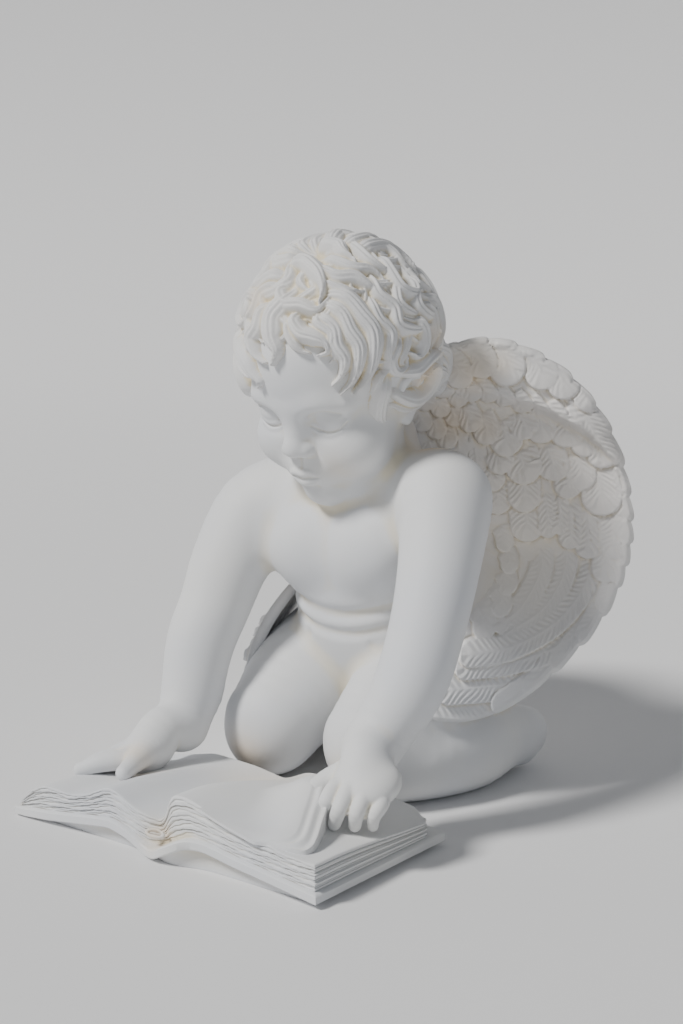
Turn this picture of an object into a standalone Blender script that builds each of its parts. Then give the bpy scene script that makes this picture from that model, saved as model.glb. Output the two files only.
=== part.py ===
"""A kneeling cherub with spread wings, leaning over an open book: one solid casting.

Frame: +Z up, the cherub looks along -Y, its left side is +X, and the flat underside is at Z = 0.
X = 0 is the middle of the book and Y = 0 its back edge until the last step, which moves the
origin under the middle of the whole piece.
"""

import bmesh
import bpy
import numpy as np

for old in list(bpy.data.objects):
    bpy.data.objects.remove(old, do_unlink=True)
statue = bpy.data.collections.new("reading_angel_statue")
bpy.context.scene.collection.children.link(statue)

# Driving dimensions, in metres
FIGURE_HEIGHT = 0.306
BOOK_WIDTH = 0.205
BOOK_DEPTH = 0.105
COVER_THICKNESS = 0.0048
COVER_RISE = 0.0164
PAGE_RISE = 0.035
PAGE_INSET = 0.0026
PAGE_LAYERS = 4
SPINE_BULGE = 0.006
WING_THICKNESS = 0.008
FEATHER_STEP = 0.0016
BODY_STEP = 0.0021
BODY_TRIANGLES = 4300
WING_TRIANGLES = 950

# One part of the figure is a 306th of its height, about a millimetre
P = FIGURE_HEIGHT / 306.0
HALF = BOOK_WIDTH / 2


def vec(*numbers):
    return np.array(numbers, dtype=float)


def easy(x):
    x = np.clip(x, 0.0, 1.0)
    return x * x * (3.0 - 2.0 * x)


def soft_line(x, at, value, reach=0.03):
    """The line through the given values, rounded over reach on each side."""
    total = sum(np.interp(x + s * reach, at, value) for s in (-1, -0.5, 0, 0.5, 1))
    return total / 5.0


# The book: heights of its pages and cover as shares of their rise, over its half width
FRONT_AT = (-1, -0.9, -0.8, -0.72, -0.61, -0.48, -0.34, -0.27, -0.17, -0.06, 0, 0.025,
            0.07, 0.13, 0.2, 0.29, 0.41, 0.62, 0.71, 0.8, 0.9, 1)
FRONT_IS = (0.15, 0.44, 0.57, 0.58, 0.55, 0.65, 0.85, 0.8, 0.66, 0.56, 0.5, 0.7,
            0.95, 1.03, 1.02, 0.95, 0.84, 0.7, 0.68, 0.62, 0.6, 0.6)
BACK_AT = (-1, -0.85, -0.7, -0.5, -0.2, 0, 0.15, 0.4, 0.7, 1)
BACK_IS = (0.14, 0.3, 0.37, 0.51, 0.48, 0.4, 0.6, 0.62, 0.56, 0.42)
COVER_AT = (-1, -0.76, -0.53, -0.32, -0.21, -0.13, -0.07, 0.01, 0.09, 0.2, 0.3, 0.49, 0.62, 0.8, 1)
COVER_IS = (0.3, 0.44, 0.65, 0.84, 0.69, 0.5, 0.35, 0.36, 0.62, 0.97, 1.0, 0.81, 0.72, 0.58, 0.42)


def page_top(x, y):
    u = x / HALF
    front = soft_line(u, FRONT_AT, FRONT_IS)
    back = soft_line(u, BACK_AT, BACK_IS)
    share = easy(-y / BOOK_DEPTH * 1.15)
    return PAGE_RISE * (back + (front - back) * share)


def cover_top(x):
    return COVER_RISE * soft_line(x / HALF, COVER_AT, COVER_IS)


def on_page(across, along, above=0.0):
    """A point over the open pages in parts, by shares of the half width and of the depth."""
    x = across * HALF
    y = -along * BOOK_DEPTH
    return vec(x, y, float(page_top(x, y)) + above * P) / P


# Mesh helpers
def add_mesh(name, points, faces):
    mesh = bpy.data.meshes.new(name)
    mesh.from_pydata([tuple(p) for p in points], [], [tuple(f) for f in faces])
    body = bmesh.new()
    body.from_mesh(mesh)
    bmesh.ops.recalc_face_normals(body, faces=body.faces)
    body.to_mesh(mesh)
    body.free()
    obj = bpy.data.objects.new(name, mesh)
    statue.objects.link(obj)
    return obj


def lattice(counts, place):
    """The skin of a block of counts cells, each corner put where place says."""
    nodes = np.arange(np.prod([n + 1 for n in counts])).reshape([n + 1 for n in counts])
    quads = []
    for axis in range(3):
        for end in (0, counts[axis]):
            g = nodes.take(end, axis=axis)
            ring = np.stack([g[:-1, :-1], g[1:, :-1], g[1:, 1:], g[:-1, 1:]], -1).reshape(-1, 4)
            if (axis == 1) != (end > 0):
                ring = ring[:, ::-1]
            quads.append(ring)
    used, faces = np.unique(np.concatenate(quads), return_inverse=True)
    spot = np.stack(np.unravel_index(used, nodes.shape), -1)
    return place(spot, spot / np.array(counts, dtype=float)), faces.reshape(-1, 4)


def join(target, tool, kind):
    """Boolean of the tool into the target, and the tool is removed."""
    change = target.modifiers.new(kind, "BOOLEAN")
    change.operation = kind
    change.solver = "EXACT"
    change.object = tool
    apply_all(target)
    bpy.data.objects.remove(tool)


def thin_out(obj, triangles):
    thin = obj.modifiers.new("Thin", "DECIMATE")
    thin.ratio = min(1.0, triangles / (2.0 * len(obj.data.polygons)))
    apply_all(obj)


def apply_all(obj):
    bpy.context.view_layer.update()
    graph = bpy.context.evaluated_depsgraph_get()
    mesh = bpy.data.meshes.new_from_object(obj.evaluated_get(graph))
    obj.modifiers.clear()
    obj.data = mesh


# Clay: the figure is laid up from round strokes that flow into each other
STROKES = []


def meet(a, b, k):
    """The lower of two distances, blended over k."""
    h = np.clip(0.5 + 0.5 * (b - a) / k, 0.0, 1.0)
    return b + (a - b) * h - k * h * (1.0 - h)


def stroke(low, high, k, shape, carve=False):
    STROKES.append((np.array(low), np.array(high), k * P, shape, carve))


def egg(centre, radii, k=6.0, tilt=0.0, carve=False):
    """An ellipsoid in parts, nodded forward by tilt degrees about X."""
    c = vec(*centre) * P
    r = vec(*radii) * P
    a = np.radians(tilt)
    turn = np.array([[1, 0, 0], [0, np.cos(a), np.sin(a)], [0, -np.sin(a), np.cos(a)]])

    def shape(p):
        q = (p - c) @ turn.T
        near = np.sqrt(((q / r) ** 2).sum(-1)) + 1e-9
        steep = np.sqrt(((q / r ** 2) ** 2).sum(-1)) + 1e-9
        return near * (near - 1.0) / steep

    reach = r.max() if tilt else r
    stroke(c - reach, c + reach, k, shape, carve)


def curve(points, each=4):
    """A smooth line through the points, rows of x, y, z and any more columns."""
    p = np.array(points, dtype=float)
    p = np.concatenate([[2 * p[0] - p[1]], p, [2 * p[-1] - p[-2]]])
    out = []
    for i in range(1, len(p) - 2):
        a, b, c, d = p[i - 1], p[i], p[i + 1], p[i + 2]
        for t in np.arange(each) / each:
            out.append(0.5 * (2 * b + (c - a) * t + (2 * a - 5 * b + 4 * c - d) * t * t
                              + (3 * b - a - 3 * c + d) * t ** 3))
    out.append(p[-2])
    return np.array(out)


def limb(points, k=5.0, each=4, carve=False):
    """A round stroke along a smooth line: rows of x, y, z, radius in parts."""
    line = curve(np.array(points, dtype=float) * P, each)

    def shape(p):
        best = np.full(p.shape[:-1], 1.0)
        for a, b in zip(line[:-1], line[1:]):
            span = b[:3] - a[:3]
            t = np.clip((p - a[:3]) @ span / (span @ span + 1e-12), 0.0, 1.0)
            gap = np.linalg.norm(p - a[:3] - t[..., None] * span, axis=-1)
            best = np.minimum(best, gap - a[3] - t * (b[3] - a[3]))
        return best

    r = line[:, 3].max()
    stroke(line[:, :3].min(0) - r, line[:, :3].max(0) + r, k, shape, carve)


def part_touching(d, step):
    """Fills the corners where two sheets of the surface would share an edge or a point."""
    fill = -0.15 * step
    for _ in range(6):
        changed = 0
        for axis in range(3):
            v = np.moveaxis(d, axis, 0)
            a, b, c, e = v[:, :-1, :-1], v[:, 1:, :-1], v[:, 1:, 1:], v[:, :-1, 1:]
            cross = ((a < 0) == (c < 0)) & ((b < 0) == (e < 0)) & ((a < 0) != (b < 0))
            changed += cross.sum()
            for w in (a, b, c, e):
                w[cross] = np.minimum(w[cross], fill)
        cube = [d[i:d.shape[0] - 1 + i, j:d.shape[1] - 1 + j, k:d.shape[2] - 1 + k]
                for i in (0, 1) for j in (0, 1) for k in (0, 1)]
        count = sum((c < 0).astype(int) for c in cube)
        for i in range(4):
            same = (cube[i] < 0) == (cube[7 - i] < 0)
            pair = same & (((count == 2) & (cube[i] < 0)) | ((count == 6) & (cube[i] >= 0)))
            changed += pair.sum()
            for w in cube:
                w[pair] = np.minimum(w[pair], fill)
        if not changed:
            return


def skin(low, high, step):
    """The surface of the clay in a box, as points and quads."""
    shape = np.ceil((high - low) / step).astype(int) + 1
    axes = [low[i] + step * np.arange(shape[i]) for i in range(3)]
    d = np.full(shape, 0.05)
    for lo, hi, k, form, carve in STROKES:
        first = np.clip(((lo - k - low) / step).astype(int) - 1, 0, shape)
        last = np.clip(((hi + k - low) / step).astype(int) + 3, 0, shape)
        if (last <= first).any():
            continue
        cut = tuple(slice(a, b) for a, b in zip(first, last))
        p = np.stack(np.meshgrid(*[axes[i][cut[i]] for i in range(3)], indexing="ij"), -1)
        s = form(p)
        d[cut] = -meet(-d[cut], s, k) if carve else meet(d[cut], s, k)
    part_touching(d, step)
    cells, spots = [], []
    for axis in range(3):
        a = d.take(np.arange(shape[axis] - 1), axis=axis)
        b = d.take(np.arange(1, shape[axis]), axis=axis)
        at = np.stack(np.nonzero((a < 0) != (b < 0)), -1)
        near, far = a[tuple(at.T)], b[tuple(at.T)]
        spot = low + step * at
        spot[:, axis] += step * near / (near - far)
        one, two = [i for i in range(3) if i != axis]
        around = np.repeat(at[:, None], 4, 1)
        around[:, (1, 2), one] -= 1
        around[:, (2, 3), two] -= 1
        flip = (near < 0) == (axis == 1)
        around[flip] = around[flip][:, ::-1]
        cells.append(np.ravel_multi_index(tuple(around.reshape(-1, 3).T), shape))
        spots.append(np.repeat(spot, 4, 0))
    cells = np.concatenate(cells)
    spots = np.concatenate(spots)
    faces = np.unique(cells, return_inverse=True)[1]
    share = np.bincount(faces)
    points = np.stack([np.bincount(faces, spots[:, i]) for i in range(3)], -1) / share[:, None]
    return points, faces.reshape(-1, 4)


# Trunk, from the seat up to the neck, with the roots of the wings behind the shoulders
egg((0, 98, 58), (55, 44, 43), 10)
for side in (-1, 1):
    egg((side * 28, 112, 52), (36, 35, 38), 8)
egg((0, 80, 88), (47, 40, 40), 14)
egg((0, 71, 128), (50, 40, 48), 16)
for side in (-1, 1):
    limb([(side * 22, 116, 198, 7), (side * 22, 111, 188, 10), (side * 22, 101, 170, 14),
          (side * 23, 97, 142, 17), (side * 20, 96, 112, 14)], 12)
egg((0, 88, 182), (20, 18, 34), 12)
limb([(-44, 62, 150, 26), (0, 70, 152, 30), (44, 66, 160, 26)], 14)
egg((22, 44, 136), (22, 18, 22), 12)
egg((-22, 42, 132), (22, 18, 22), 12)
limb([(0, 70, 158, 27), (0, 52, 190, 25)], 8)

# Legs: thighs forward from the hips, shins folded back under them
for side in (-1, 1):
    limb([(side * 37, 96, 60, 36), (side * 36, 60, 48, 34), (side * 34.5, 30, 34, 27.5)], 8)
    limb([(side * 38, 30, 26, 25.5), (side * 52, 55, 24, 25), (side * 60, 84, 22, 23.5),
          (side * 61, 106, 21, 18)], 6)
    limb([(side * 61, 104, 21, 18), (side * 64, 120, 20.5, 17), (side * 65, 131, 20.5, 14)], 6)
    limb([(side * 66, 125, 12, 10), (side * 67, 134, 14, 8)], 4)

# Arms: the shoulders lean over the book and the wrists follow its pages
RIGHT_WRIST = on_page(-0.6, 0.17, 20)
LEFT_WRIST = on_page(0.7, 0.2, 31)
limb([(-46, 60, 152, 25), (-60, 46, 146, 24), (-65, 28, 120, 22), (-66, 16, 98, 20),
      (-66, 3, 78, 19), (*(RIGHT_WRIST + vec(-2, 10, 17)), 16.8), (*RIGHT_WRIST, 14)], 12)
limb([(52, 64, 163, 26), (64, 52, 164, 25), (75, 32, 138, 21.5), (81, 13, 108, 19.5),
      (81, -3, 80, 18.5), (*LEFT_WRIST, 14.5)], 12)

# Right hand, flat on the left page with the thumb apart
limb([(*RIGHT_WRIST, 12.5), (*(RIGHT_WRIST + vec(-1, -14, 1)), 12.5), (*on_page(-0.62, 0.44, 11), 11)], 5)
egg(on_page(-0.67, 0.42, 7), (16, 16, 9), 5)
FINGERS = ((on_page(-0.63, 0.56, 8.5), on_page(-0.72, 0.65, 6), on_page(-0.81, 0.71, 2.6), 5.0),
           (on_page(-0.7, 0.52, 8), on_page(-0.78, 0.6, 5.5), on_page(-0.865, 0.64, 2.6), 4.9),
           (on_page(-0.76, 0.46, 7), on_page(-0.83, 0.52, 5), on_page(-0.895, 0.55, 2.6), 4.6),
           (on_page(-0.8, 0.38, 6), on_page(-0.87, 0.43, 4.2), on_page(-0.92, 0.455, 2.4), 4.2))
for base, bend, tip, thick in FINGERS:
    limb([(*(base * 0.55 + on_page(-0.64, 0.4, 9) * 0.45), thick + 3), (*base, thick + 0.9),
          (*bend, thick), (*tip, thick - 1.1)], 1.8)
limb([(*on_page(-0.58, 0.38, 12), 9.5), (*on_page(-0.555, 0.5, 10.5), 7.4),
      (*on_page(-0.535, 0.6, 7), 5.4), (*on_page(-0.522, 0.685, 3.6), 4.3)], 3)

# Left hand, its fingers hanging down to the page beside the loose leaf
limb([(*LEFT_WRIST, 13), (*(LEFT_WRIST + vec(6, -12, 0)), 13), (*on_page(0.8, 0.4, 24), 11.5)], 6)
egg(on_page(0.84, 0.42, 22), (17.5, 17, 10.5), 5, 18)
FINGERS = ((on_page(0.745, 0.53, 19), on_page(0.74, 0.6, 13.5), on_page(0.705, 0.575, 2), 4.6),
           (on_page(0.825, 0.54, 20), on_page(0.825, 0.61, 13), on_page(0.785, 0.6, 1), 4.7),
           (on_page(0.885, 0.52, 19.5), on_page(0.87, 0.575, 12.5), on_page(0.84, 0.545, 1), 4.6),
           (on_page(0.935, 0.47, 18), on_page(0.915, 0.52, 12), on_page(0.885, 0.49, 1), 4.4))
for base, bend, tip, thick in FINGERS:
    limb([(*(base * 0.5 + on_page(0.83, 0.4, 21) * 0.5), thick + 3), (*base, thick + 1.0),
          (*bend, thick + 0.1), (*tip, thick - 0.2)], 1.6)
limb([(*on_page(0.68, 0.36, 20), 8), (*on_page(0.62, 0.45, 16), 6), (*on_page(0.6, 0.53, 12), 4.8)], 3)

# Head: a skull nodded forward, a soft child's face and ears
HEAD = vec(0, 42, 231)
HEAD_SCALE = 0.93
NOD = 25.0


def face(x, y, z):
    """A point of the head, in parts from its centre, before it is nodded forward."""
    a = np.radians(NOD)
    x, y, z = HEAD_SCALE * x, HEAD_SCALE * y, HEAD_SCALE * z
    return (HEAD[0] + x, HEAD[1] + y * np.cos(a) - z * np.sin(a),
            HEAD[2] + y * np.sin(a) + z * np.cos(a))


def head_egg(centre, radii, k, carve=False):
    egg(face(*centre), HEAD_SCALE * vec(*radii), k, NOD, carve)


def head_limb(rows, k):
    limb([(*face(x, y, z), HEAD_SCALE * r) for x, y, z, r in rows], k)


head_egg((0, 6, 10), (49, 56, 52), 4)
head_egg((0, -13, -32), (37, 34, 33), 14)
head_egg((0, -24, -57), (22, 17, 10), 8)
for side in (-1, 1):
    head_egg((side * 23, -30, -28), (19.5, 17.5, 18), 10)
    head_limb([(side * 9, -44.6, 2, 2.4), (side * 20, -42.2, 5, 2.7), (side * 31, -36.4, 2, 2.2)], 10)
    head_egg((side * 20, -50.5, -7), (12.5, 8.6, 7.5), 6, True)
head_egg((0, -41, -39), (14.5, 12.5, 11.5), 9)
head_limb([(0, -43.5, 1, 6), (0, -46.6, -9, 5.8), (0, -50.6, -17, 5.8)], 7)
head_egg((0, -53, -20.5), (6.6, 5.4, 5.2), 3.5)
for side in (-1, 1):
    head_egg((side * 6.2, -50.2, -22.4), (4.0, 4.8, 3.8), 2.8)
    head_egg((side * 20, -34.2, -7), (11.4, 10.0, 9.6), 2.6)
    head_egg((side * 46, 2, -19), (5.5, 7.5, 10), 3)
    head_limb([(side * 47, -3, -5, 3), (side * 49, 6, -3, 3), (side * 50, 11, -11, 3),
               (side * 49, 8, -23, 3), (side * 47, 1, -29, 3.6)], 2)
head_limb([(-8, -50, -37.6, 1.6), (0, -52.6, -37, 2.2), (8, -50, -37.6, 1.6)], 2)
head_limb([(-7, -49.6, -42.4, 1.7), (0, -51.6, -43, 2.8), (7, -49.6, -42.4, 1.7)], 2)
head_egg((0, -39.6, -56), (11, 9.5, 8.8), 6)

# Hair: a cap, then rows of wavy locks that end in hooked tips
egg(face(0, 10, 15), (53, 58, 51), 3, NOD)
egg(face(0, 34, -14), (43, 33, 34), 6, NOD)


def on_hair(turn, rise, out):
    """A point over the hair: turn from the brow toward the left ear, rise from level."""
    a, e = np.radians(turn), np.radians(rise)
    return face((56 + out) * np.sin(a) * np.cos(e), 9 - (60 + out) * np.cos(a) * np.cos(e),
                13 + (54 + out) * np.sin(e))


def lock(turn, rise, to_turn, to_rise, wave, width, hook=8.0):
    rows = []
    for i in range(5):
        t = i / 4
        sway = wave * np.sin(t * 2 * np.pi)
        tip = hook * t ** 3
        rows.append((*on_hair(turn + (to_turn - turn) * t + sway + tip,
                              rise + (to_rise - rise) * t, 1.5 + 2.5 * np.sin(np.pi * t) - 3 * t ** 4),
                     width * (0.72 + 0.28 * np.sin(np.pi * min(1, 1.2 * t))) * (1 - 0.35 * t ** 3)))
    limb(rows, 1.6, 3)


for i in range(9):
    turn = -82 + 20.5 * i
    low = 24 - 14 * abs(turn / 82) ** 1.3 + 5 * (i % 2)
    lock(turn * 0.8, 58, turn, low, 7 - 14 * (i % 2), 6.6, 10 * (-1) ** i)
for i in range(11):
    turn = -160 + 32 * i
    lock(turn, 84, turn + 10, 50, 9 * (-1) ** i, 7.2, 14)
for i in range(8):
    turn = 90 + 25.7 * i
    lock(turn - 8, 52, turn, 8 - 6 * (i % 2), 7 * (-1) ** i, 7.4, -12)
for i in range(9):
    turn = 100 + 20 * i
    lock(turn, 14, turn + 6, -34 + 5 * (i % 2), 6 * (-1) ** i, 6.8, 9)
for side in (-1, 1):
    head_limb([(side * 50, -20, 12, 6), (side * 54, -14, 0, 6), (side * 50, -19, -12, 5),
               (side * 46, -22, -22, 3.5)], 2)
    head_limb([(side * 51, -2, 8, 6.5), (side * 56, 8, 6, 6.5), (side * 57, 18, 0, 6),
               (side * 53, 26, -10, 4)], 2)

LOW = vec(-112, -100, -4) * P
HIGH = vec(114, 160, 312) * P
LOW[2] = -0.004
angel = add_mesh("angel_and_book", *skin(LOW, HIGH, BODY_STEP))
thin_out(angel, BODY_TRIANGLES)

# Wings: a sheet swept round a root on the shoulder blade, with rows of feathers on its face
ROOT = vec(20, 95, 150)
ALONG = vec(0.825, 0.565, 0.0)
FORWARD = vec(0.565, -0.825, 0.0)
RIM_AT = (-90, -84, -72, -58, -48, -38, -22, -8, 5, 25, 47, 70, 80, 95)
RIM_IS = (99, 104, 109.5, 112.5, 113, 116.6, 119.6, 118.6, 115.6, 113.6, 110.6, 103.6, 94.6, 84)
SWEEP_AT = (-90, -84, -72, -58, -38, -20, 95)
SWEEP_IS = (73, 71, 60, 42, 15, 0, 0)
SHELF_AT = (8, 14, 21, 34, 54, 70, 95)
SHELF_FROM = (0.97, 0.93, 0.88, 0.74, 0.57, 0.55, 0.53)
TEETH = np.array((62, 52, 42, 32, 23, 12.7, 4, -3, -9.3, -15.7, -21.8, -30.4, -40, -50, -60))
WING_TOP = 104.0
WING_FOOT = -90.0

# Each feather: base and tip across and above the root, width, and how far its layer stands out
FEATHERS = []


def feather(base, tip, width, layer):
    FEATHERS.append((vec(*base), vec(*tip), width, layer))


for i in range(6):
    feather((18 + 17 * i, 92 - 3.1 * i ** 2), (32 + 15.5 * i, 72 - 1.5 * i ** 2), 22, 5)
for i in range(6):
    feather((14 + 17 * i, 66 - 2.2 * i ** 2), (34 + 15.5 * i, 54 - 1.2 * i ** 2), 19, 4)
for i in range(6):
    feather((30 + 15 * i, 58 - 1.0 * i ** 2), (44 + 13.5 * i, 33 - 0.7 * i ** 2 + 3 * (i % 2)), 18, 3)
for i in range(5):
    feather((34 + 15 * i, 32), (46 + 15.5 * i, 6 - 3.4 * i + 4 * (i % 2)), 19, 2)
for i in range(4):
    feather((46 + 14 * i, 8), (58 + 14 * i, -24 - 11 * i), 20, 1)
for i in range(7):
    feather((32 + 3 * i, 44 - 16 * i), (43 + 1.2 * i, 30 - 16 * i), 15, 2.4 - 0.2 * i)


def relief(h, z):
    """Height of the feathers over the wing's face, in feather steps."""
    best = np.zeros_like(h)
    for base, tip, width, layer in FEATHERS:
        span = tip - base
        length = np.hypot(*span)
        way = span / length
        s = ((h - base[0]) * way[0] + (z - base[1]) * way[1]) / length
        w = ((z - base[1]) * way[0] - (h - base[0]) * way[1]) / (0.5 * width)
        room = 1.0 - w ** 2 - (np.clip(s - 0.55, 0, 1) / 0.45) ** 2
        inside = (s > -0.1) & (room > 0)
        height = layer * 0.45 + s * 0.9 + 0.35 * np.sqrt(np.clip(room, 0, 1))
        best = np.where(inside, np.maximum(best, height), best)
    return best


def wing_point(turn, share, face_side, side):
    """Turn from level up, share of the way to the rim, 1 on the front face and 0 behind."""
    rim = soft_line(turn, RIM_AT, RIM_IS, 6)
    last = np.clip(np.searchsorted(-TEETH, -turn), 1, len(TEETH) - 1)
    saw = 2.4 * np.clip((TEETH[last - 1] - turn) / (TEETH[last - 1] - TEETH[last]), 0, 1) - 1.5
    r = rim * (0.1 + 0.9 * share) + saw * share ** 8 * easy((turn + 52) / 8) * easy((62 - turn) / 8)
    a = np.radians(turn)
    h = r * np.cos(a)
    z = r * np.sin(a)
    sweep = soft_line(turn, SWEEP_AT, SWEEP_IS, 6) * (1.0 - (1.0 - share) ** 2)
    bowl = -9.0 * np.sin(np.pi * share ** 1.3) * easy((turn + 60) / 40)
    start = np.interp(turn, SHELF_AT, SHELF_FROM)
    over = (share - start) / (1.001 - start)
    shelf = 11.5 * easy((turn - 6) / 30) * easy(over / 0.34) * (1 - 0.72 * easy((over - 0.4) / 0.6))
    thick = WING_THICKNESS / P * (1.15 - 0.6 * share ** 3)
    front = sweep + bowl + shelf
    back = sweep + bowl - thick - 5.0 * easy((turn - 5) / 30) * share * (1.2 - share)
    lines = FEATHER_STEP / P * relief(h, z) * easy((1.0 - share) * 12)
    long_feathers = 0.9 * np.abs(((share * 7.0) % 1.0) - 0.3) * easy((-turn - 15) / 12) * easy((1.0 - share) * 8)
    out = np.where(face_side > 0.5, front + lines + long_feathers, back)
    point = ROOT + h[:, None] * ALONG + out[:, None] * FORWARD + z[:, None] * vec(0, 0, 1)
    point[:, 0] *= side
    return point * P


for side in (-1, 1):
    def place(spot, share, side=side):
        turn = WING_TOP + (WING_FOOT - WING_TOP) * share[:, 0]
        return wing_point(turn, share[:, 1], share[:, 2], side)

    wing = add_mesh("wing", *lattice((100, 34, 1), place))
    thin_out(wing, WING_TRIANGLES)
    join(angel, wing, "UNION")


# The book: its skin is a stack of rings from the ground up to the open pages
def book_rings():
    """Each ring as inset, and share of the way: 0 ground, 1 cover foot, 2 cover top, 3 page top."""
    rings = [(0.006, 0.0), (0.0045, 0.9), (0.0, 1.0), (0.0, 2.0), (PAGE_INSET, 2.02)]
    for i in range(PAGE_LAYERS):
        low = 2.0 + (i + 0.25) / PAGE_LAYERS
        rings.append((PAGE_INSET, low + 0.35 / PAGE_LAYERS))
        if i < PAGE_LAYERS - 1:
            rings.append((PAGE_INSET + 0.0009, low + 0.7 / PAGE_LAYERS))
    rings.append((PAGE_INSET, 3.0))
    return rings


RINGS = book_rings()


def book_point(spot, share):
    inset = np.array([r[0] for r in RINGS])[spot[:, 2]]
    level = np.array([r[1] for r in RINGS])[spot[:, 2]]
    across = 2.0 * share[:, 0] - 1.0
    x = np.sign(across) * np.abs(across) ** 1.25 * (HALF - inset)
    y = -BOOK_DEPTH + inset + share[:, 1] * (BOOK_DEPTH - 2 * inset)
    top = page_top(x, y)
    cover = cover_top(x)
    foot = np.maximum(cover - COVER_THICKNESS, 0.0008)
    z = np.interp(level, (0, 1), (-0.003, 0)) + np.where(level < 1, foot * level, 0)
    z = np.where(level >= 1, foot + (cover - foot) * np.clip(level - 1, 0, 1), z)
    z = np.where(level > 2, cover + (np.maximum(top, cover + 0.001) - cover) * (level - 2), z)
    bulge = SPINE_BULGE * np.exp(-((x / BOOK_WIDTH - 0.045) / 0.07) ** 2)
    notch = 0.004 * np.exp(-((x / BOOK_WIDTH) / 0.035) ** 2) * (level > 2)
    y = y + np.where(share[:, 1] < 0.5, notch - bulge * (level <= 2.02), 0.0) * (1 - 2 * share[:, 1])
    return np.stack([x, y, z], -1)


book = add_mesh("book", *lattice((28, 6, len(RINGS) - 1), book_point))


# The loose leaf rises in a hollow sweep to a turned edge. The edge is given from the book's front
# to its back: share of the book's depth, share of its half width, and height over the page
EDGE_AT = (-1, -0.971, -0.943, -0.895, -0.819, -0.733, -0.629, -0.533, -0.429, -0.286, -0.095)
EDGE_IS = (0.605, 0.678, 0.743, 0.776, 0.751, 0.704, 0.65, 0.595, 0.546, 0.507, 0.488)
EDGE_LIFT = (0.0, 0.0008, 0.0026, 0.0048, 0.0072, 0.0098, 0.013, 0.0165, 0.015, 0.009, 0.0)
LEAF_FROM = 0.29
LEAF_REACH = 0.034
LEAF_TURN = 0.0115
LEAF_SINK = 0.0024


def loose_leaf(spot, share):
    depth = -0.955 + 0.84 * share[:, 1]
    edge = HALF * soft_line(depth, EDGE_AT, EDGE_IS, 0.04)
    lift = soft_line(depth, EDGE_AT, EDGE_LIFT)
    flat = np.clip(share[:, 0] / 0.75, 0, 1)
    turned = np.clip((share[:, 0] - 0.75) / 0.25, 0, 1)
    x = LEAF_FROM * HALF + (edge - LEAF_FROM * HALF) * flat
    y = BOOK_DEPTH * depth
    rise = easy((x - edge + LEAF_REACH) / LEAF_REACH) ** 1.25
    top = page_top(x, y) + 0.0006 + lift * rise
    x = x + LEAF_TURN * turned * easy(lift / 0.004)
    top = np.maximum(top - 0.0035 * turned * easy(lift / 0.004), page_top(x, y) + 0.0006)
    under = np.minimum(page_top(x, y), top) - LEAF_SINK
    return np.stack([x, y, np.where(share[:, 2] > 0.5, top, under)], -1)


leaf = add_mesh("loose_leaf", *lattice((8, 12, 1), loose_leaf))
join(book, leaf, "UNION")
join(angel, book, "UNION")

# A flat underside: everything below the ground is cut away
bpy.ops.mesh.primitive_cube_add(size=1.0, location=(0, 0.03, -0.05))
ground = bpy.context.object
ground.scale = (0.6, 0.6, 0.1)
join(angel, ground, "DIFFERENCE")

# The origin goes under the middle of the piece
corners = np.array([v.co for v in angel.data.vertices])
middle = (corners.min(0) + corners.max(0)) / 2
for v in angel.data.vertices:
    v.co.x -= middle[0]
    v.co.y -= middle[1]

plaster = bpy.data.materials.new("white_plaster")
plaster.use_nodes = True
plaster.node_tree.nodes["Principled BSDF"].inputs["Base Color"].default_value = (0.72, 0.72, 0.69, 1)
plaster.node_tree.nodes["Principled BSDF"].inputs["Roughness"].default_value = 0.7
angel.data.materials.clear()
angel.data.materials.append(plaster)
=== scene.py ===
import bpy
import numpy as np
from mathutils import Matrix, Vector


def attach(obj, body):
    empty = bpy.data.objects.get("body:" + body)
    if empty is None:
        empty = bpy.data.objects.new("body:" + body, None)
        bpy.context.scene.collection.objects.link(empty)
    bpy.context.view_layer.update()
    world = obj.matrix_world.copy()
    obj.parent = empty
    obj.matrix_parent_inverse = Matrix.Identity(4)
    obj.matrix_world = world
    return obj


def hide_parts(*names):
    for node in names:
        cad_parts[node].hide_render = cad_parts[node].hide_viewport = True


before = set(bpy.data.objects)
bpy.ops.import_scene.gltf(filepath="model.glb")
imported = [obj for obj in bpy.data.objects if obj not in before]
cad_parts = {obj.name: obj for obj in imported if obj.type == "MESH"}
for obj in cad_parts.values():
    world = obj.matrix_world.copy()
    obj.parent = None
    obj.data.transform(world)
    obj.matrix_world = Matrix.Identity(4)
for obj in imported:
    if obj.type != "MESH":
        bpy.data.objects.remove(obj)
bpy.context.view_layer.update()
bpy.ops.object.select_all(action="DESELECT")

# Camera, floor and light. The camera stands to the cherub's left and a little above it, as the
# photo was taken. The floor is a plain pale sheet that sweeps up behind the statue, and the light
# a soft sun from the upper left with a weak fill from the right and a pale sky.
LOOK_AT = Vector((-0.0033, 0.023, 0.1519))
CAMERA_DISTANCE = 1.0124
turn, rise = np.radians(38.0), np.radians(11.07)
away = Vector((np.sin(turn) * np.cos(rise), -np.cos(turn) * np.cos(rise), np.sin(rise)))
bpy.ops.object.camera_add(location=LOOK_AT + away * CAMERA_DISTANCE)
camera = bpy.context.object
camera.rotation_euler = away.to_track_quat("Z", "Y").to_euler()
camera.data.lens = 65.0
camera.data.sensor_fit = "VERTICAL"
camera.data.sensor_height = 36.0
bpy.context.scene.camera = camera

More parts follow.
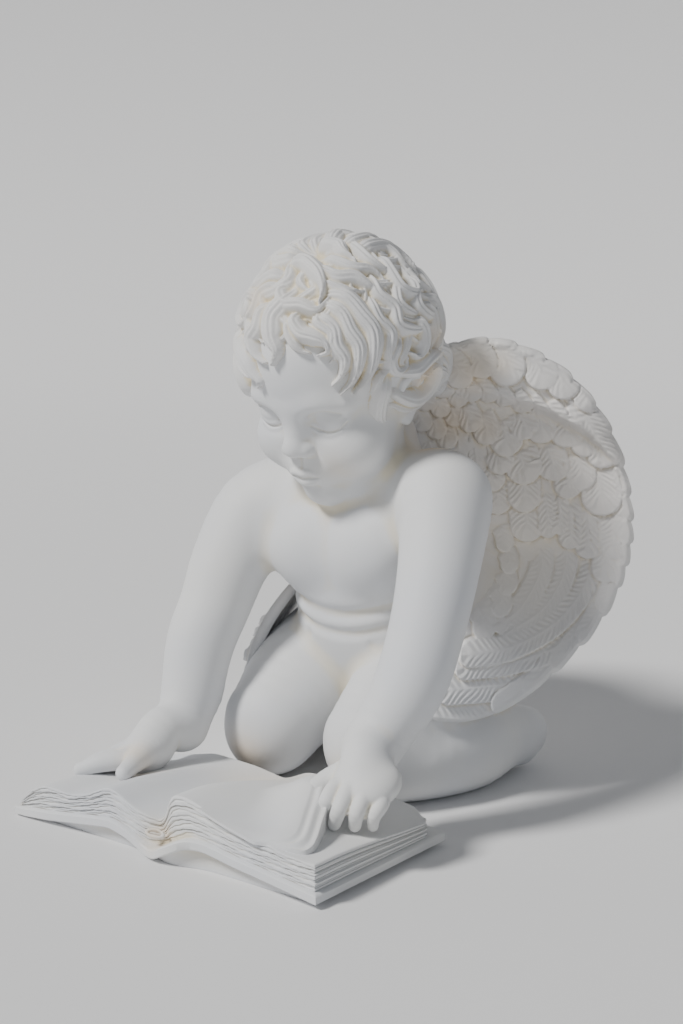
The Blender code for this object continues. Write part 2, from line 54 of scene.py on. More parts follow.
FLOOR_WIDTH = 16.0
FLOOR_LENGTH = 11.0
FLOOR_NEAR = -5.0
SWEEP_FROM = 1.6
SWEEP_RADIUS = 1.0
bpy.ops.mesh.primitive_grid_add(x_subdivisions=2, y_subdivisions=90, size=1.0)
floor = bpy.context.object
floor.name = "floor"
for v in floor.data.vertices:
    run = FLOOR_NEAR + FLOOR_LENGTH * (v.co.y + 0.5)
    bend = min(max((run - SWEEP_FROM) / SWEEP_RADIUS, 0.0), np.pi / 2)
    wall = max(run - SWEEP_FROM - SWEEP_RADIUS * np.pi / 2, 0.0)
    y = min(run, SWEEP_FROM) + SWEEP_RADIUS * np.sin(bend)
    z = SWEEP_RADIUS * (1 - np.cos(bend)) + wall - 0.0002
    x = FLOOR_WIDTH * v.co.x
    v.co = (x * np.cos(turn) - y * np.sin(turn), x * np.sin(turn) + y * np.cos(turn), z)
bpy.ops.object.shade_smooth()
floor_paint = bpy.data.materials.new("floor_paint")
floor_paint.use_nodes = True
paint = floor_paint.node_tree.nodes["Principled BSDF"]
paint.inputs["Base Color"].default_value = (0.8, 0.8, 0.805, 1)
paint.inputs["Roughness"].default_value = 0.85
floor.data.materials.append(floor_paint)

bpy.ops.object.light_add(type="SUN", location=(-0.5, -0.9, 1.4))
key = bpy.context.object
key.name = "key"
key.rotation_euler = Vector((-0.5, -0.95, 1.15)).to_track_quat("Z", "Y").to_euler()
key.data.energy = 3.3
key.data.angle = np.radians(12)
key.data.color = (1.0, 0.985, 0.96)
FILL_AT = Vector((1.1, -1.2, 0.7))
FILL_TOWARD = Vector((0, 0, 0.13))
bpy.ops.object.light_add(type="AREA", location=FILL_AT)
fill = bpy.context.object
fill.name = "fill"
fill.rotation_euler = (FILL_AT - FILL_TOWARD).to_track_quat("Z", "Y").to_euler()
fill.data.energy = 2.2
fill.data.size = 0.8
fill.data.color = (0.9, 0.95, 1.0)
sky = bpy.data.worlds.new("sky")
sky.use_nodes = True
sky.node_tree.nodes["Background"].inputs["Color"].default_value = (0.78, 0.82, 0.88, 1)
sky.node_tree.nodes["Background"].inputs["Strength"].default_value = 0.2
bpy.context.scene.world = sky

# The child: a hollow plaster casting, poured in one with the wings and the book, left matt, with
# painted shade of darker cream in its hollows. It is modelled here as clay would be laid up, by round
# strokes that flow into each other, in parts of a 306th of its height. The book's sizes come first,
# because the hands and knees rest on its pages.
CENTRE = np.array([-0.00004, 0.02700, 0.0])
P = 0.306 / 306.0
BOOK_WIDTH = 0.205
BOOK_DEPTH = 0.105
PAGE_RISE = 0.035
HALF = BOOK_WIDTH / 2


def vec(*numbers):
    return np.array(numbers, dtype=float)


def easy(x):
    x = np.clip(x, 0.0, 1.0)
    return x * x * (3.0 - 2.0 * x)


def soft_line(x, at, value, reach=0.03):
    """The line through the given values, rounded over reach on each side."""
    return sum(np.interp(x + s * reach, at, value) for s in (-1, -0.5, 0, 0.5, 1)) / 5.0


FRONT_AT = (-1, -0.9, -0.8, -0.72, -0.61, -0.48, -0.34, -0.27, -0.17, -0.06, 0, 0.025,
            0.07, 0.13, 0.2, 0.29, 0.41, 0.62, 0.71, 0.8, 0.9, 1)
FRONT_IS = (0.15, 0.44, 0.57, 0.58, 0.55, 0.65, 0.85, 0.8, 0.66, 0.56, 0.5, 0.7,
            0.95, 1.03, 1.02, 0.95, 0.84, 0.7, 0.68, 0.62, 0.6, 0.6)
BACK_AT = (-1, -0.85, -0.7, -0.5, -0.2, 0, 0.15, 0.4, 0.7, 1)
BACK_IS = (0.14, 0.3, 0.37, 0.51, 0.48, 0.4, 0.6, 0.62, 0.56, 0.42)


def page_top(x, y):
    u = x / HALF
    front = soft_line(u, FRONT_AT, FRONT_IS)
    back = soft_line(u, BACK_AT, BACK_IS)
    return PAGE_RISE * (back + (front - back) * easy(-y / BOOK_DEPTH * 1.15))


def on_page(across, along, above=0.0):
    """A point over the open pages in parts, by shares of the half width and of the depth."""
    x = across * HALF
    y = -along * BOOK_DEPTH
    return vec(x, y, float(page_top(x, y)) + above * P) / P


STROKES = []


def meet(a, b, k):
    h = np.clip(0.5 + 0.5 * (b - a) / k, 0.0, 1.0)
    return b + (a - b) * h - k * h * (1.0 - h)


def stroke(low, high, k, shape, carve=False):
    STROKES.append((np.array(low), np.array(high), k * P, shape, carve))


def egg(centre, radii, k=6.0, tilt=0.0, carve=False, yaw=0.0):
    """An ellipsoid, nodded forward by tilt and turned by yaw degrees."""
    c = vec(*centre) * P
    r = vec(*radii) * P
    a, b = np.radians(tilt), np.radians(yaw)
    turned = np.array([[1, 0, 0], [0, np.cos(a), np.sin(a)], [0, -np.sin(a), np.cos(a)]])
    turned = turned @ np.array([[np.cos(b), np.sin(b), 0], [-np.sin(b), np.cos(b), 0], [0, 0, 1]])

    def shape(p):
        q = (p - c) @ turned.T
        near = np.sqrt(((q / r) ** 2).sum(-1)) + 1e-9
        steep = np.sqrt(((q / r ** 2) ** 2).sum(-1)) + 1e-9
        return near * (near - 1.0) / steep

    reach = r.max() if tilt or yaw else r
    stroke(c - reach, c + reach, k, shape, carve)


def curve(points, each=4):
    """A smooth line through the points, rows of x, y, z and any more columns."""
    p = np.array(points, dtype=float)
    p = np.concatenate([[2 * p[0] - p[1]], p, [2 * p[-1] - p[-2]]])
    out = []
    for i in range(1, len(p) - 2):
        a, b, c, d = p[i - 1], p[i], p[i + 1], p[i + 2]
        for t in np.arange(each) / each:
            out.append(0.5 * (2 * b + (c - a) * t + (2 * a - 5 * b + 4 * c - d) * t * t
                              + (3 * b - a - 3 * c + d) * t ** 3))
    out.append(p[-2])
    return np.array(out)


def limb(points, k=5.0, carve=False):
    """A round stroke along a smooth line: rows of x, y, z, radius."""
    line = curve(np.array(points, dtype=float) * P)

    def shape(p):
        best = np.full(p.shape[:-1], 1.0)
        for a, b in zip(line[:-1], line[1:]):
            span = b[:3] - a[:3]
            t = np.clip((p - a[:3]) @ span / (span @ span + 1e-12), 0.0, 1.0)
            gap = np.linalg.norm(p - a[:3] - t[..., None] * span, axis=-1)
            best = np.minimum(best, gap - a[3] - t * (b[3] - a[3]))
        return best

    r = line[:, 3].max()
    stroke(line[:, :3].min(0) - r, line[:, :3].max(0) + r, k, shape, carve)


# Trunk, legs and arms of a plump child who kneels on its shins and leans on both hands.
egg((0, 98, 58), (55, 44, 43), 10)
for side in (-1, 1):
    egg((side * 28, 112, 52), (36, 35, 38), 8)
egg((0, 80, 88), (47, 40, 40), 14)
egg((0, 71, 128), (50, 40, 48), 16)
for side in (-1, 1):
    limb([(side * 30, 112, 182, 5), (side * 25, 108, 174, 9), (side * 22, 101, 164, 13),
          (side * 23, 97, 142, 17), (side * 20, 96, 112, 14)], 12)
egg((0, 88, 178), (18, 18, 32), 12)
limb([(-44, 62, 150, 26), (0, 70, 152, 30), (44, 66, 160, 26)], 14)
egg((22, 44, 136), (22, 18, 22), 12)
egg((-22, 42, 132), (22, 18, 22), 12)
limb([(0, 70, 158, 27), (0, 52, 190, 25)], 8)
for side in (-1, 1):
    limb([(side * 37, 96, 60, 36), (side * 36, 60, 48, 34), (side * 34.5, 30, 34, 27.5)], 8)
    limb([(side * 38, 30, 26, 25.5), (side * 52, 55, 24, 25), (side * 60, 84, 22, 23.5),
          (side * 61, 106, 21, 18)], 6)
    limb([(side * 61, 104, 21, 18), (side * 64, 120, 20.5, 17), (side * 65, 131, 20.5, 14)], 6)
    limb([(side * 66, 125, 12, 10), (side * 67, 134, 14, 8)], 4)
RIGHT_WRIST = on_page(-0.6, 0.17, 20)
LEFT_WRIST = on_page(0.7, 0.2, 31)
limb([(-46, 60, 152, 25), (-60, 46, 146, 24), (-65, 28, 120, 22), (-66, 16, 98, 20),
      (-66, 3, 78, 19), (*(RIGHT_WRIST + vec(-2, 10, 17)), 16.8), (*RIGHT_WRIST, 14)], 12)
limb([(52, 64, 163, 26), (64, 52, 164, 25), (75, 32, 138, 21.5), (81, 13, 108, 19.5),
      (81, -3, 80, 18.5), (*LEFT_WRIST, 14.5)], 12)

# Soft folds of the belly, the crease of the thigh and of the left wrist
limb([(-40, 54, 106, 1.0), (-18, 37.5, 99, 1.8), (8, 36.5, 98, 1.9), (32, 44, 103, 1.5),
      (44, 56, 110, 0.8)], 6, carve=True)
limb([(-34, 50, 92, 0.8), (-12, 39.5, 87, 1.5), (12, 39.5, 87, 1.6), (34, 47, 93, 1.0)], 5, carve=True)
for side in (-1, 1):
    limb([(side * 22, 43, 82, 0.8), (side * 36, 42, 86, 1.3), (side * 54, 56, 88, 1.3),
          (side * 66, 76, 82, 0.8)], 4, carve=True)
limb([(*(LEFT_WRIST + vec(-13, -4, 6)), 0.9), (*(LEFT_WRIST + vec(-5, -9, 12.4)), 1.2),
      (*(LEFT_WRIST + vec(7, -8, 12)), 1.2), (*(LEFT_WRIST + vec(14, -3, 5)), 0.9)], 2, carve=True)

# The right hand lies flat on the left page with its thumb apart.
limb([(*RIGHT_WRIST, 12.5), (*(RIGHT_WRIST + vec(-1, -14, 1)), 12.5),
      (*on_page(-0.62, 0.44, 11), 11)], 5)
egg(on_page(-0.68, 0.42, 7), (16, 17, 9), 5, yaw=35)
FINGERS = ((on_page(-0.63, 0.56, 8.5), on_page(-0.72, 0.65, 6), on_page(-0.81, 0.71, 2.6), 5.0),
           (on_page(-0.7, 0.52, 8), on_page(-0.78, 0.6, 5.5), on_page(-0.865, 0.64, 2.6), 4.9),
           (on_page(-0.76, 0.46, 7), on_page(-0.83, 0.52, 5), on_page(-0.895, 0.55, 2.6), 4.6),
           (on_page(-0.8, 0.38, 6), on_page(-0.87, 0.43, 4.2), on_page(-0.92, 0.455, 2.4), 4.2))
for base, bend, tip, thick in FINGERS:
    limb([(*(base * 0.55 + on_page(-0.64, 0.4, 9) * 0.45), thick + 3), (*base, thick + 0.9),
          (*bend, thick), (*tip, thick - 1.1)], 1.8)
limb([(*on_page(-0.58, 0.38, 12), 9.5), (*on_page(-0.555, 0.5, 10.5), 7.4),
      (*on_page(-0.535, 0.6, 7), 5.4), (*on_page(-0.522, 0.685, 3.6), 4.3)], 3)

# The left hand lifts the loose leaf, with its fingers hanging down to the page beside it.
limb([(*LEFT_WRIST, 13), (*(LEFT_WRIST + vec(6, -12, 0)), 13), (*on_page(0.8, 0.4, 24), 11.5)], 6)
egg(on_page(0.84, 0.42, 22), (17.5, 17, 10.5), 5, 18)
FINGERS = ((on_page(0.745, 0.53, 19), on_page(0.74, 0.6, 13.5), on_page(0.705, 0.575, 5), 3.8),
           (on_page(0.825, 0.54, 20), on_page(0.825, 0.61, 13), on_page(0.785, 0.6, 3.6), 3.9),
           (on_page(0.9, 0.52, 19.5), on_page(0.9, 0.575, 12.5), on_page(0.865, 0.545, 4.4), 3.8),
           (on_page(0.97, 0.48, 18), on_page(0.965, 0.525, 12), on_page(0.93, 0.49, 5), 3.4))
for base, bend, tip, thick in FINGERS:
    limb([(*(base * 0.5 + on_page(0.83, 0.4, 21) * 0.5), thick + 3), (*base, thick + 1.0),
          (*bend, thick + 0.1), (*tip, thick - 0.6)], 0.7)
limb([(*on_page(0.68, 0.36, 20), 8), (*on_page(0.62, 0.45, 16), 6), (*on_page(0.6, 0.53, 12), 4.8)], 3)

# The head nods over the book: a child's skull with full cheeks, lowered lids and small ears.
HEAD = vec(0, 42, 231)
HEAD_SCALE = 0.93
NOD = 25.0


def on_head(p):
    """Points of the head, from its centre, before it is nodded forward."""
    a = np.radians(NOD)
    x, y, z = (HEAD_SCALE * np.asarray(p)).T
    return np.stack([HEAD[0] + x, HEAD[1] + y * np.cos(a) - z * np.sin(a),
                     HEAD[2] + y * np.sin(a) + z * np.cos(a)], -1)


def from_head(p):
    """The same, the other way round."""
    a = np.radians(NOD)
    x, y, z = ((np.asarray(p) - HEAD) / HEAD_SCALE).T
    return np.stack([x, y * np.cos(a) + z * np.sin(a), z * np.cos(a) - y * np.sin(a)], -1)


def head_egg(centre, radii, k, carve=False):
    egg(on_head(vec(*centre)), HEAD_SCALE * vec(*radii), k, NOD, carve)


def head_limb(points, k, carve=False):
    rows = np.array(points, dtype=float)
    limb(np.column_stack([on_head(rows[:, :3]), HEAD_SCALE * rows[:, 3]]), k, carve)


head_egg((0, 6, 10), (49, 56, 52), 4)
head_egg((0, -13, -32), (37, 34, 33), 14)
head_egg((0, -24, -57), (22, 17, 10), 8)
for side in (-1, 1):
    head_egg((side * 23, -30, -28), (19.5, 17.5, 18), 10)
    head_limb([(side * 9, -44.6, 2, 2.4), (side * 20, -42.2, 5, 2.7), (side * 31, -36.4, 2, 2.2)], 10)
    head_egg((side * 20, -50.5, -7), (12.5, 8.6, 7.5), 6, True)
head_egg((0, -41, -39), (14.5, 12.5, 11.5), 9)
head_limb([(0, -43.5, 1, 6), (0, -46.6, -9, 5.8), (0, -50.6, -17, 5.8)], 7)
head_egg((0, -53, -20.5), (6.6, 5.4, 5.2), 3.5)
for side in (-1, 1):
    head_egg((side * 6.2, -50.2, -22.4), (4.0, 4.8, 3.8), 2.8)
    head_egg((side * 3.3, -54, -26.0), (1.6, 2.6, 1.4), 1.2, True)
head_egg((0, -39.6, -56), (11, 9.5, 8.8), 6)
for side in (-1, 1):
    head_egg((side * 20, -34.2, -7), (11.4, 10.0, 9.6), 2.6)


def clay(p):
    """How far points stand out of the clay, in metres."""
    d = np.full(len(p), 0.05)
    for low, high, k, form, carve in STROKES:
        near = np.all((p > low - k - 0.003) & (p < high + k + 0.003), axis=-1)
        if near.any():
            s = form(p[near])
            d[near] = -meet(-d[near], s, k) if carve else meet(d[near], s, k)
    return d


def on_features(rows, k, out, carve=False):
    """Strokes laid on the front of the face: rows of x, z, radius, with the middle out of it."""
    depth = np.linspace(-70.0, -20.0, 400)
    points = []
    for x, z, radius in rows:
        solid = clay(on_head(np.column_stack([np.full(400, x), depth, np.full(400, z)])) * P) < 0
        points.append((x, depth[np.argmax(solid)] - out, z, radius))
    head_limb(points, k, carve)


# Mouth: two soft lips that meet in a fine line, and the hollow over and under them
on_features([(0, -28, 1.0), (0, -33, 1.3)], 2, 0.5, True)
on_features([(-8.8, -38.4, 1.1), (-4, -36.6, 1.9), (0, -37.3, 1.8), (4, -36.6, 1.9),
             (8.8, -38.4, 1.1)], 1.8, -0.5)
on_features([(-7.2, -42.0, 1.3), (0, -43.2, 2.6), (7.2, -42.0, 1.3)], 2, -0.9)
on_features([(-10, -39.9, 0.7), (-4.6, -39.5, 0.8), (0, -40.2, 0.85), (4.6, -39.5, 0.8),
             (10, -39.9, 0.7)], 0.7, 0.1, True)
on_features([(-5, -48.4, 1.0), (0, -49, 1.4), (5, -48.4, 1.0)], 3, 0.4, True)

# Eyes: a lowered upper lid with its rim, the lash line, a soft lower lid and a crease above
for side in (-1, 1):
    on_features([(side * 11, -8.6, 0.7), (side * 15.5, -10.4, 1.1), (side * 21, -11.2, 1.2),
                 (side * 27, -10.0, 1.0), (side * 30.5, -7.6, 0.6)], 1.6, -0.5)
    on_features([(side * 11, -11.4, 0.6), (side * 16, -14.3, 1.0), (side * 22, -15.0, 1.0),
                 (side * 28, -13.0, 0.8)], 1.8, -0.45)
    on_features([(side * 10, -9.8, 0.6), (side * 15.5, -12.2, 0.8), (side * 21.5, -13.1, 0.85),
                 (side * 27.5, -11.6, 0.8), (side * 31.5, -8.6, 0.6)], 0.6, 0.15, True)
    on_features([(side * 11, -3.4, 0.6), (side * 15.5, -0.6, 0.8), (side * 22, 0.2, 0.8),
                 (side * 29.5, -2.4, 0.6)], 1.6, 0.2, True)

# Ears, half under the hair, laid on the side of the head: rows of y, z, radius and distance out
def on_side(side, rows, k, carve=False):
    reach = np.linspace(70.0, 20.0, 400)
    points = []
    for y, z, radius, out in rows:
        solid = clay(on_head(np.column_stack([side * reach, np.full(400, y), np.full(400, z)])) * P) < 0
        points.append((side * (reach[np.argmax(solid)] + out), y, z, radius))
    head_limb(points, k, carve)


for side in (-1, 1):
    on_side(side, [(1, -12, 6, -2), (2, -20, 5.5, -2), (0, -26, 4, -1.5)], 3)
    on_side(side, [(-6, -9, 2.2, 0.6), (-2, -3, 2.4, 1.6), (6, -2, 2.6, 2.2), (11.5, -8, 2.7, 2.4),
                   (11, -16, 2.7, 2.2), (6, -24, 2.8, 1.4), (0, -29, 3.4, 0.4)], 1.4)
    on_side(side, [(3, -9, 3.2, 2.6), (4, -17, 3.4, 2.6)], 1.6, True)
    on_side(side, [(7, -6, 1.4, 1.0), (7.6, -13, 1.5, 1.0), (4, -20, 1.4, 0.6)], 1.2)
    on_side(side, [(-5, -15, 2.2, 0.6), (-4, -19, 2.2, 0.6)], 1.4)


def part_touching(d, step):
    """Fills the corners where two sheets of the surface would share an edge or a point."""
    fill = -0.15 * step
    for _ in range(6):
        changed = 0
        for axis in range(3):
            v = np.moveaxis(d, axis, 0)
            a, b, c, e = v[:, :-1, :-1], v[:, 1:, :-1], v[:, 1:, 1:], v[:, :-1, 1:]
            cross = ((a < 0) == (c < 0)) & ((b < 0) == (e < 0)) & ((a < 0) != (b < 0))
            changed += cross.sum()
            for w in (a, b, c, e):
                w[cross] = np.minimum(w[cross], fill)
        cube = [d[i:d.shape[0] - 1 + i, j:d.shape[1] - 1 + j, k:d.shape[2] - 1 + k]
                for i in (0, 1) for j in (0, 1) for k in (0, 1)]
        count = sum((c < 0).astype(np.int8) for c in cube)
        for i in range(4):
            same = (cube[i] < 0) == (cube[7 - i] < 0)
            pair = same & (((count == 2) & (cube[i] < 0)) | ((count == 6) & (cube[i] >= 0)))
            changed += pair.sum()
            for w in cube:
                w[pair] = np.minimum(w[pair], fill)
        if not changed:
            return


def skin(low, high, step):
    """The surface of the clay in a box, as points and quads."""
    shape = np.ceil((high - low) / step).astype(int) + 1
    axes = [low[i] + step * np.arange(shape[i]) for i in range(3)]
    d = np.full(shape, 0.05, dtype=np.float32)
    for lo, hi, k, form, carve in STROKES:
        first = np.clip(((lo - k - low) / step).astype(int) - 1, 0, shape)
        last = np.clip(((hi + k - low) / step).astype(int) + 3, 0, shape)
        if (last <= first).any():
            continue
        cut = tuple(slice(a, b) for a, b in zip(first, last))
        p = np.stack(np.meshgrid(*[axes[i][cut[i]] for i in range(3)], indexing="ij"), -1)
        s = form(p)
        d[cut] = -meet(-d[cut], s, k) if carve else meet(d[cut], s, k)
    part_touching(d, step)
    cells, spots = [], []
    for axis in range(3):
        a = d.take(np.arange(shape[axis] - 1), axis=axis)
        b = d.take(np.arange(1, shape[axis]), axis=axis)
        at = np.stack(np.nonzero((a < 0) != (b < 0)), -1)
        near, far = a[tuple(at.T)].astype(float), b[tuple(at.T)].astype(float)
        spot = low + step * at
        spot[:, axis] += step * near / (near - far)
        one, two = [i for i in range(3) if i != axis]
        around = np.repeat(at[:, None], 4, 1)
        around[:, (1, 2), one] -= 1
        around[:, (2, 3), two] -= 1
        flip = (near < 0) == (axis == 1)
        around[flip] = around[flip][:, ::-1]
        cells.append(np.ravel_multi_index(tuple(around.reshape(-1, 3).T), shape))
        spots.append(np.repeat(spot, 4, 0))
    cells = np.concatenate(cells)
    spots = np.concatenate(spots)
    _, faces = np.unique(cells, return_inverse=True)
    share = np.bincount(faces)
    points = np.stack([np.bincount(faces, spots[:, i]) for i in range(3)], -1) / share[:, None]
    return points, faces.reshape(-1, 4)


def settle(p):
    """Moves points that lie near the clay's surface onto it."""
    probe = 0.0002
    for _ in range(2):
        d = clay(p)
        slope = np.stack([clay(p + probe * e) - clay(p - probe * e) for e in np.eye(3)], -1) / (2 * probe)
        step = np.clip(d / np.maximum((slope ** 2).sum(-1), 0.2), -0.001, 0.001)
        p = p - step[:, None] * slope
    return p


def only(obj):
    bpy.ops.object.select_all(action="DESELECT")
    bpy.context.view_layer.objects.active = obj
    obj.select_set(True)


def edit(obj, tool, **options):
    """Runs one edit-mode tool on the whole of a piece."""
    only(obj)
    bpy.ops.object.mode_set(mode="EDIT")
    bpy.ops.mesh.select_all(action="SELECT")
    tool(**options)
    bpy.ops.object.mode_set(mode="OBJECT")


def read_points(obj):
    co = np.empty(len(obj.data.vertices) * 3, dtype=np.float32)
    obj.data.vertices.foreach_get("co", co)
    return co.reshape(-1, 3).astype(float) + CENTRE


def write_points(obj, points):
    obj.data.vertices.foreach_set("co", (points - CENTRE).astype(np.float32).ravel())
    obj.data.update()


def add_mesh(name, points, faces):
    mesh = bpy.data.meshes.new(name)
    mesh.from_pydata((points - CENTRE).tolist(), [], faces.tolist())
    obj = bpy.data.objects.new(name, mesh)
    bpy.context.scene.collection.objects.link(obj)
    edit(obj, bpy.ops.mesh.normals_make_consistent, inside=False)
    return obj


def refine(obj, wanted):
    """Splits the faces where wanted holds in four, and lays the new corners on the clay."""
    mesh = obj.data
    held = wanted(read_points(obj)).tolist()
    picked = [all(held[v] for v in face.vertices) for face in mesh.polygons]
    only(obj)
    bpy.ops.object.mode_set(mode="EDIT")
    bpy.ops.mesh.select_mode(type="FACE")
    bpy.ops.mesh.select_all(action="DESELECT")
    bpy.ops.object.mode_set(mode="OBJECT")
    mesh.polygons.foreach_set("select", picked)
    bpy.ops.object.mode_set(mode="EDIT")
    bpy.ops.mesh.subdivide(number_cuts=1)
    bpy.ops.object.mode_set(mode="OBJECT")
    points = read_points(obj)
    moved = wanted(points)
    points[moved] = settle(points[moved])
    write_points(obj, points)


def thin_out(obj, limit):
    """Brings the triangles of a piece down to limit."""
    obj.data.calc_loop_triangles()
    count = len(obj.data.loop_triangles)
    if count > limit:
        only(obj)
        change = obj.modifiers.new("Decimate", "DECIMATE")
        change.ratio = limit / count
        bpy.ops.object.modifier_apply(modifier=change.name)


def head_box(low, high):
    """A test for points in a box on the head, the same on both sides."""
    def inside(p):
        q = from_head(p / P)
        q[:, 0] = np.abs(q[:, 0])
        return np.all((q > low) & (q < high), axis=1)
    return inside


def on_hands(p):
    return (p[:, 2] < 0.058) & (p[:, 1] < -0.018)


FACE = head_box((-1, -99, -64), (38, -26, 12))
LIDS_AND_LIPS = head_box((-1, -99, -48), (34, -34, 6))
EARS = head_box((38, -11, -34), (99, 17, 4))
CLAY_LOW = vec(-0.112, -0.1, -0.004)
CLAY_HIGH = vec(0.114, 0.16, 0.312)
CLAY_CELL = 0.00145
points, faces = skin(CLAY_LOW, CLAY_HIGH, CLAY_CELL)
child = add_mesh("kneeling_cherub", settle(points), faces)
for spots in ((FACE, LIDS_AND_LIPS, EARS, on_hands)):
    refine(child, spots)
edit(child, bpy.ops.mesh.bisect, plane_co=(0, 0, 0), plane_no=(0, 0, 1), use_fill=True,
     clear_inner=True)
thin_out(child, 195000)
points = read_points(child)
points[:, 2] = np.maximum(points[:, 2], 0)
write_points(child, points)

# Plaster: off-white and matt, cool on the skin, with painted shade in a darker cream in the hollows, and
# patches of peach
plaster = bpy.data.materials.new("white_plaster")
plaster.use_nodes = True
tree = plaster.node_tree
shader = tree.nodes["Principled BSDF"]
shader.inputs["Roughness"].default_value = 0.6
shader.inputs["IOR"].default_value = 1.45
shader.inputs["Specular IOR Level"].default_value = 0.35
where = tree.nodes.new("ShaderNodeTexCoord")
# Painted shade: this attribute says how much darker cream goes into each hollow
hollow_shade = tree.nodes.new("ShaderNodeAttribute")
hollow_shade.attribute_name = "hollow_shade"
warm = tree.nodes.new("ShaderNodeAttribute")
warm.attribute_name = "warm"


def noise(scale, detail):
    n = tree.nodes.new("ShaderNodeTexNoise")
    n.inputs["Scale"].default_value = scale
    n.inputs["Detail"].default_value = detail
    tree.links.new(where.outputs["Object"], n.inputs["Vector"])
    return n.outputs["Fac"]


def mix(share, a, b):
    m = tree.nodes.new("ShaderNodeMix")
    m.data_type = "RGBA"
    for socket, value in ((m.inputs[0], share), (m.inputs[6], a), (m.inputs[7], b)):
        if hasattr(value, "is_linked"):
            tree.links.new(value, socket)
        else:
            socket.default_value = value
    return m.outputs[2]


patches = tree.nodes.new("ShaderNodeMapRange")
patches.inputs["From Min"].default_value = 0.35
patches.inputs["From Max"].default_value = 0.68
tree.links.new(noise(13.0, 3.0), patches.inputs["Value"])
cloud = mix(patches.outputs["Result"], (0.72, 0.735, 0.765, 1), (0.79, 0.79, 0.78, 1))
# Painted shade: the hollows are mixed toward a darker cream
shaded_cream = mix(hollow_shade.outputs["Fac"], cloud, (0.76, 0.68, 0.50, 1))
peach = mix(warm.outputs["Fac"], shaded_cream, (0.88, 0.66, 0.38, 1))
tree.links.new(peach, shader.inputs["Base Color"])
grain = tree.nodes.new("ShaderNodeBump")
grain.inputs["Strength"].default_value = 0.12
grain.inputs["Distance"].default_value = 0.0004
tree.links.new(noise(900.0, 4.0), grain.inputs["Height"])
tree.links.new(grain.outputs["Normal"], shader.inputs["Normal"])


def tint(obj, reach, deep, most, spots=()):
    """Stores painted shade by how far each spot lies sunk below its surroundings, over about reach steps, and
    where warm patches lie.
    """
    mesh = obj.data
    n = len(mesh.vertices)
    co = read_points(obj)
    normal = np.empty(n * 3, dtype=np.float32)
    mesh.vertices.foreach_get("normal", normal)
    edges = np.empty(len(mesh.edges) * 2, dtype=np.int32)
    mesh.edges.foreach_get("vertices", edges)
    a, b = edges.reshape(-1, 2).T
    count = np.maximum(np.bincount(a, minlength=n) + np.bincount(b, minlength=n), 1)

    def spread(value):
        return (np.bincount(a, value[b], n) + np.bincount(b, value[a], n)) / count

    smooth = co.copy()
    for _ in range(reach):
        smooth = np.stack([spread(smooth[:, i]) for i in range(3)], -1)
    depth = ((smooth - co) * normal.reshape(-1, 3)).sum(-1)
    for _ in range(3):
        depth = 0.5 * depth + 0.5 * spread(depth)
    # Painted shade: the deeper a spot is sunk, the more of the darker cream it gets, up to most
    shade = most * np.clip(depth / deep - 0.1, 0, 1) ** 0.8
    glow = np.zeros(n)
    for spot, size, strength in spots:
        far = np.linalg.norm(co - vec(*spot) * P, axis=-1) / (size * P)
        glow = np.maximum(glow, strength * np.exp(-1.5 * far ** 2))
    for name, value in (("hollow_shade", shade), ("warm", glow)):
        stored = mesh.attributes.new(name, "FLOAT", "POINT")
        stored.data.foreach_set("value", value.astype(np.float32))


def finish(obj, crease=180.0):
    """Plaster, shading that stays sharp over edges steeper than crease degrees, and the frame."""
    obj.data.materials.clear()
    obj.data.materials.append(plaster)
    only(obj)
    bpy.ops.object.shade_smooth_by_angle(angle=np.radians(crease))
    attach(obj, "root")
    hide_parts("angel_and_book")


tint(child, 14, 0.0009, 0.7, [((36, 0, 14), 17, 0.55), ((-36, 0, 16), 18, 0.5), ((46, 66, 188), 15, 0.5),
                              ((80, -16, 62), 6, 0.5), ((70, -14, 60), 6, 0.45), ((-56, -60, 30), 9, 0.4),
                              ((30, 66, 78), 12, 0.25), ((20, 20, 186), 12, 0.25), ((30, 92, 196), 18, 0.55)])
finish(child)

# The hair: one thick cap of carved, wavy locks in the same casting. It is a relief on a ball that
# closes inside the head. Each lock follows a line of directions from the crown's centre (around
# from the brow toward the left ear, up from level), with strands along it and a sunk root.
CROWN = vec(0, 9, 6)
CAPS = ((vec(0, 10, 15), vec(51.5, 56.5, 49.5)), (vec(0, 34, -14), vec(42, 32, 33)))
HAIR_REACH = 62.0
HAIRLINE_AT = (-180, -120, -100, -80, -62, -50, -30, -12, 5, 14, 24, 32, 40, 50, 58, 66, 80, 100,
               120, 180)
HAIRLINE_IS = (-46, -44, -36, 6, 8, 18, 27, 32, 36, 44, 44, 40, 20, 14, 12, 0, 4, -36, -44, -46)
LOCKS = []


def cap_reach(way):
    """How far the plain cap of hair lies from the crown's centre, in each direction."""
    best = np.zeros(len(way))
    for middle, radii in CAPS:
        start = (CROWN - middle) / radii
        v = way / radii
        a, b, c = (v * v).sum(-1), v @ start, (start * start).sum() - 1
        inside = b * b - a * c
        best = np.maximum(best, np.where(inside > 0, (np.sqrt(np.maximum(inside, 0)) - b) / a, 0))
    return best


def toward(around, up):
    a, e = np.radians(around), np.radians(up)
    return np.stack([np.sin(a) * np.cos(e), -np.cos(a) * np.cos(e), np.sin(e)], -1)


def lock(path, width, lift, twist=0.0, thick=4.5, strands=3):
    LOCKS.append((path, width, lift, thick, strands, twist))


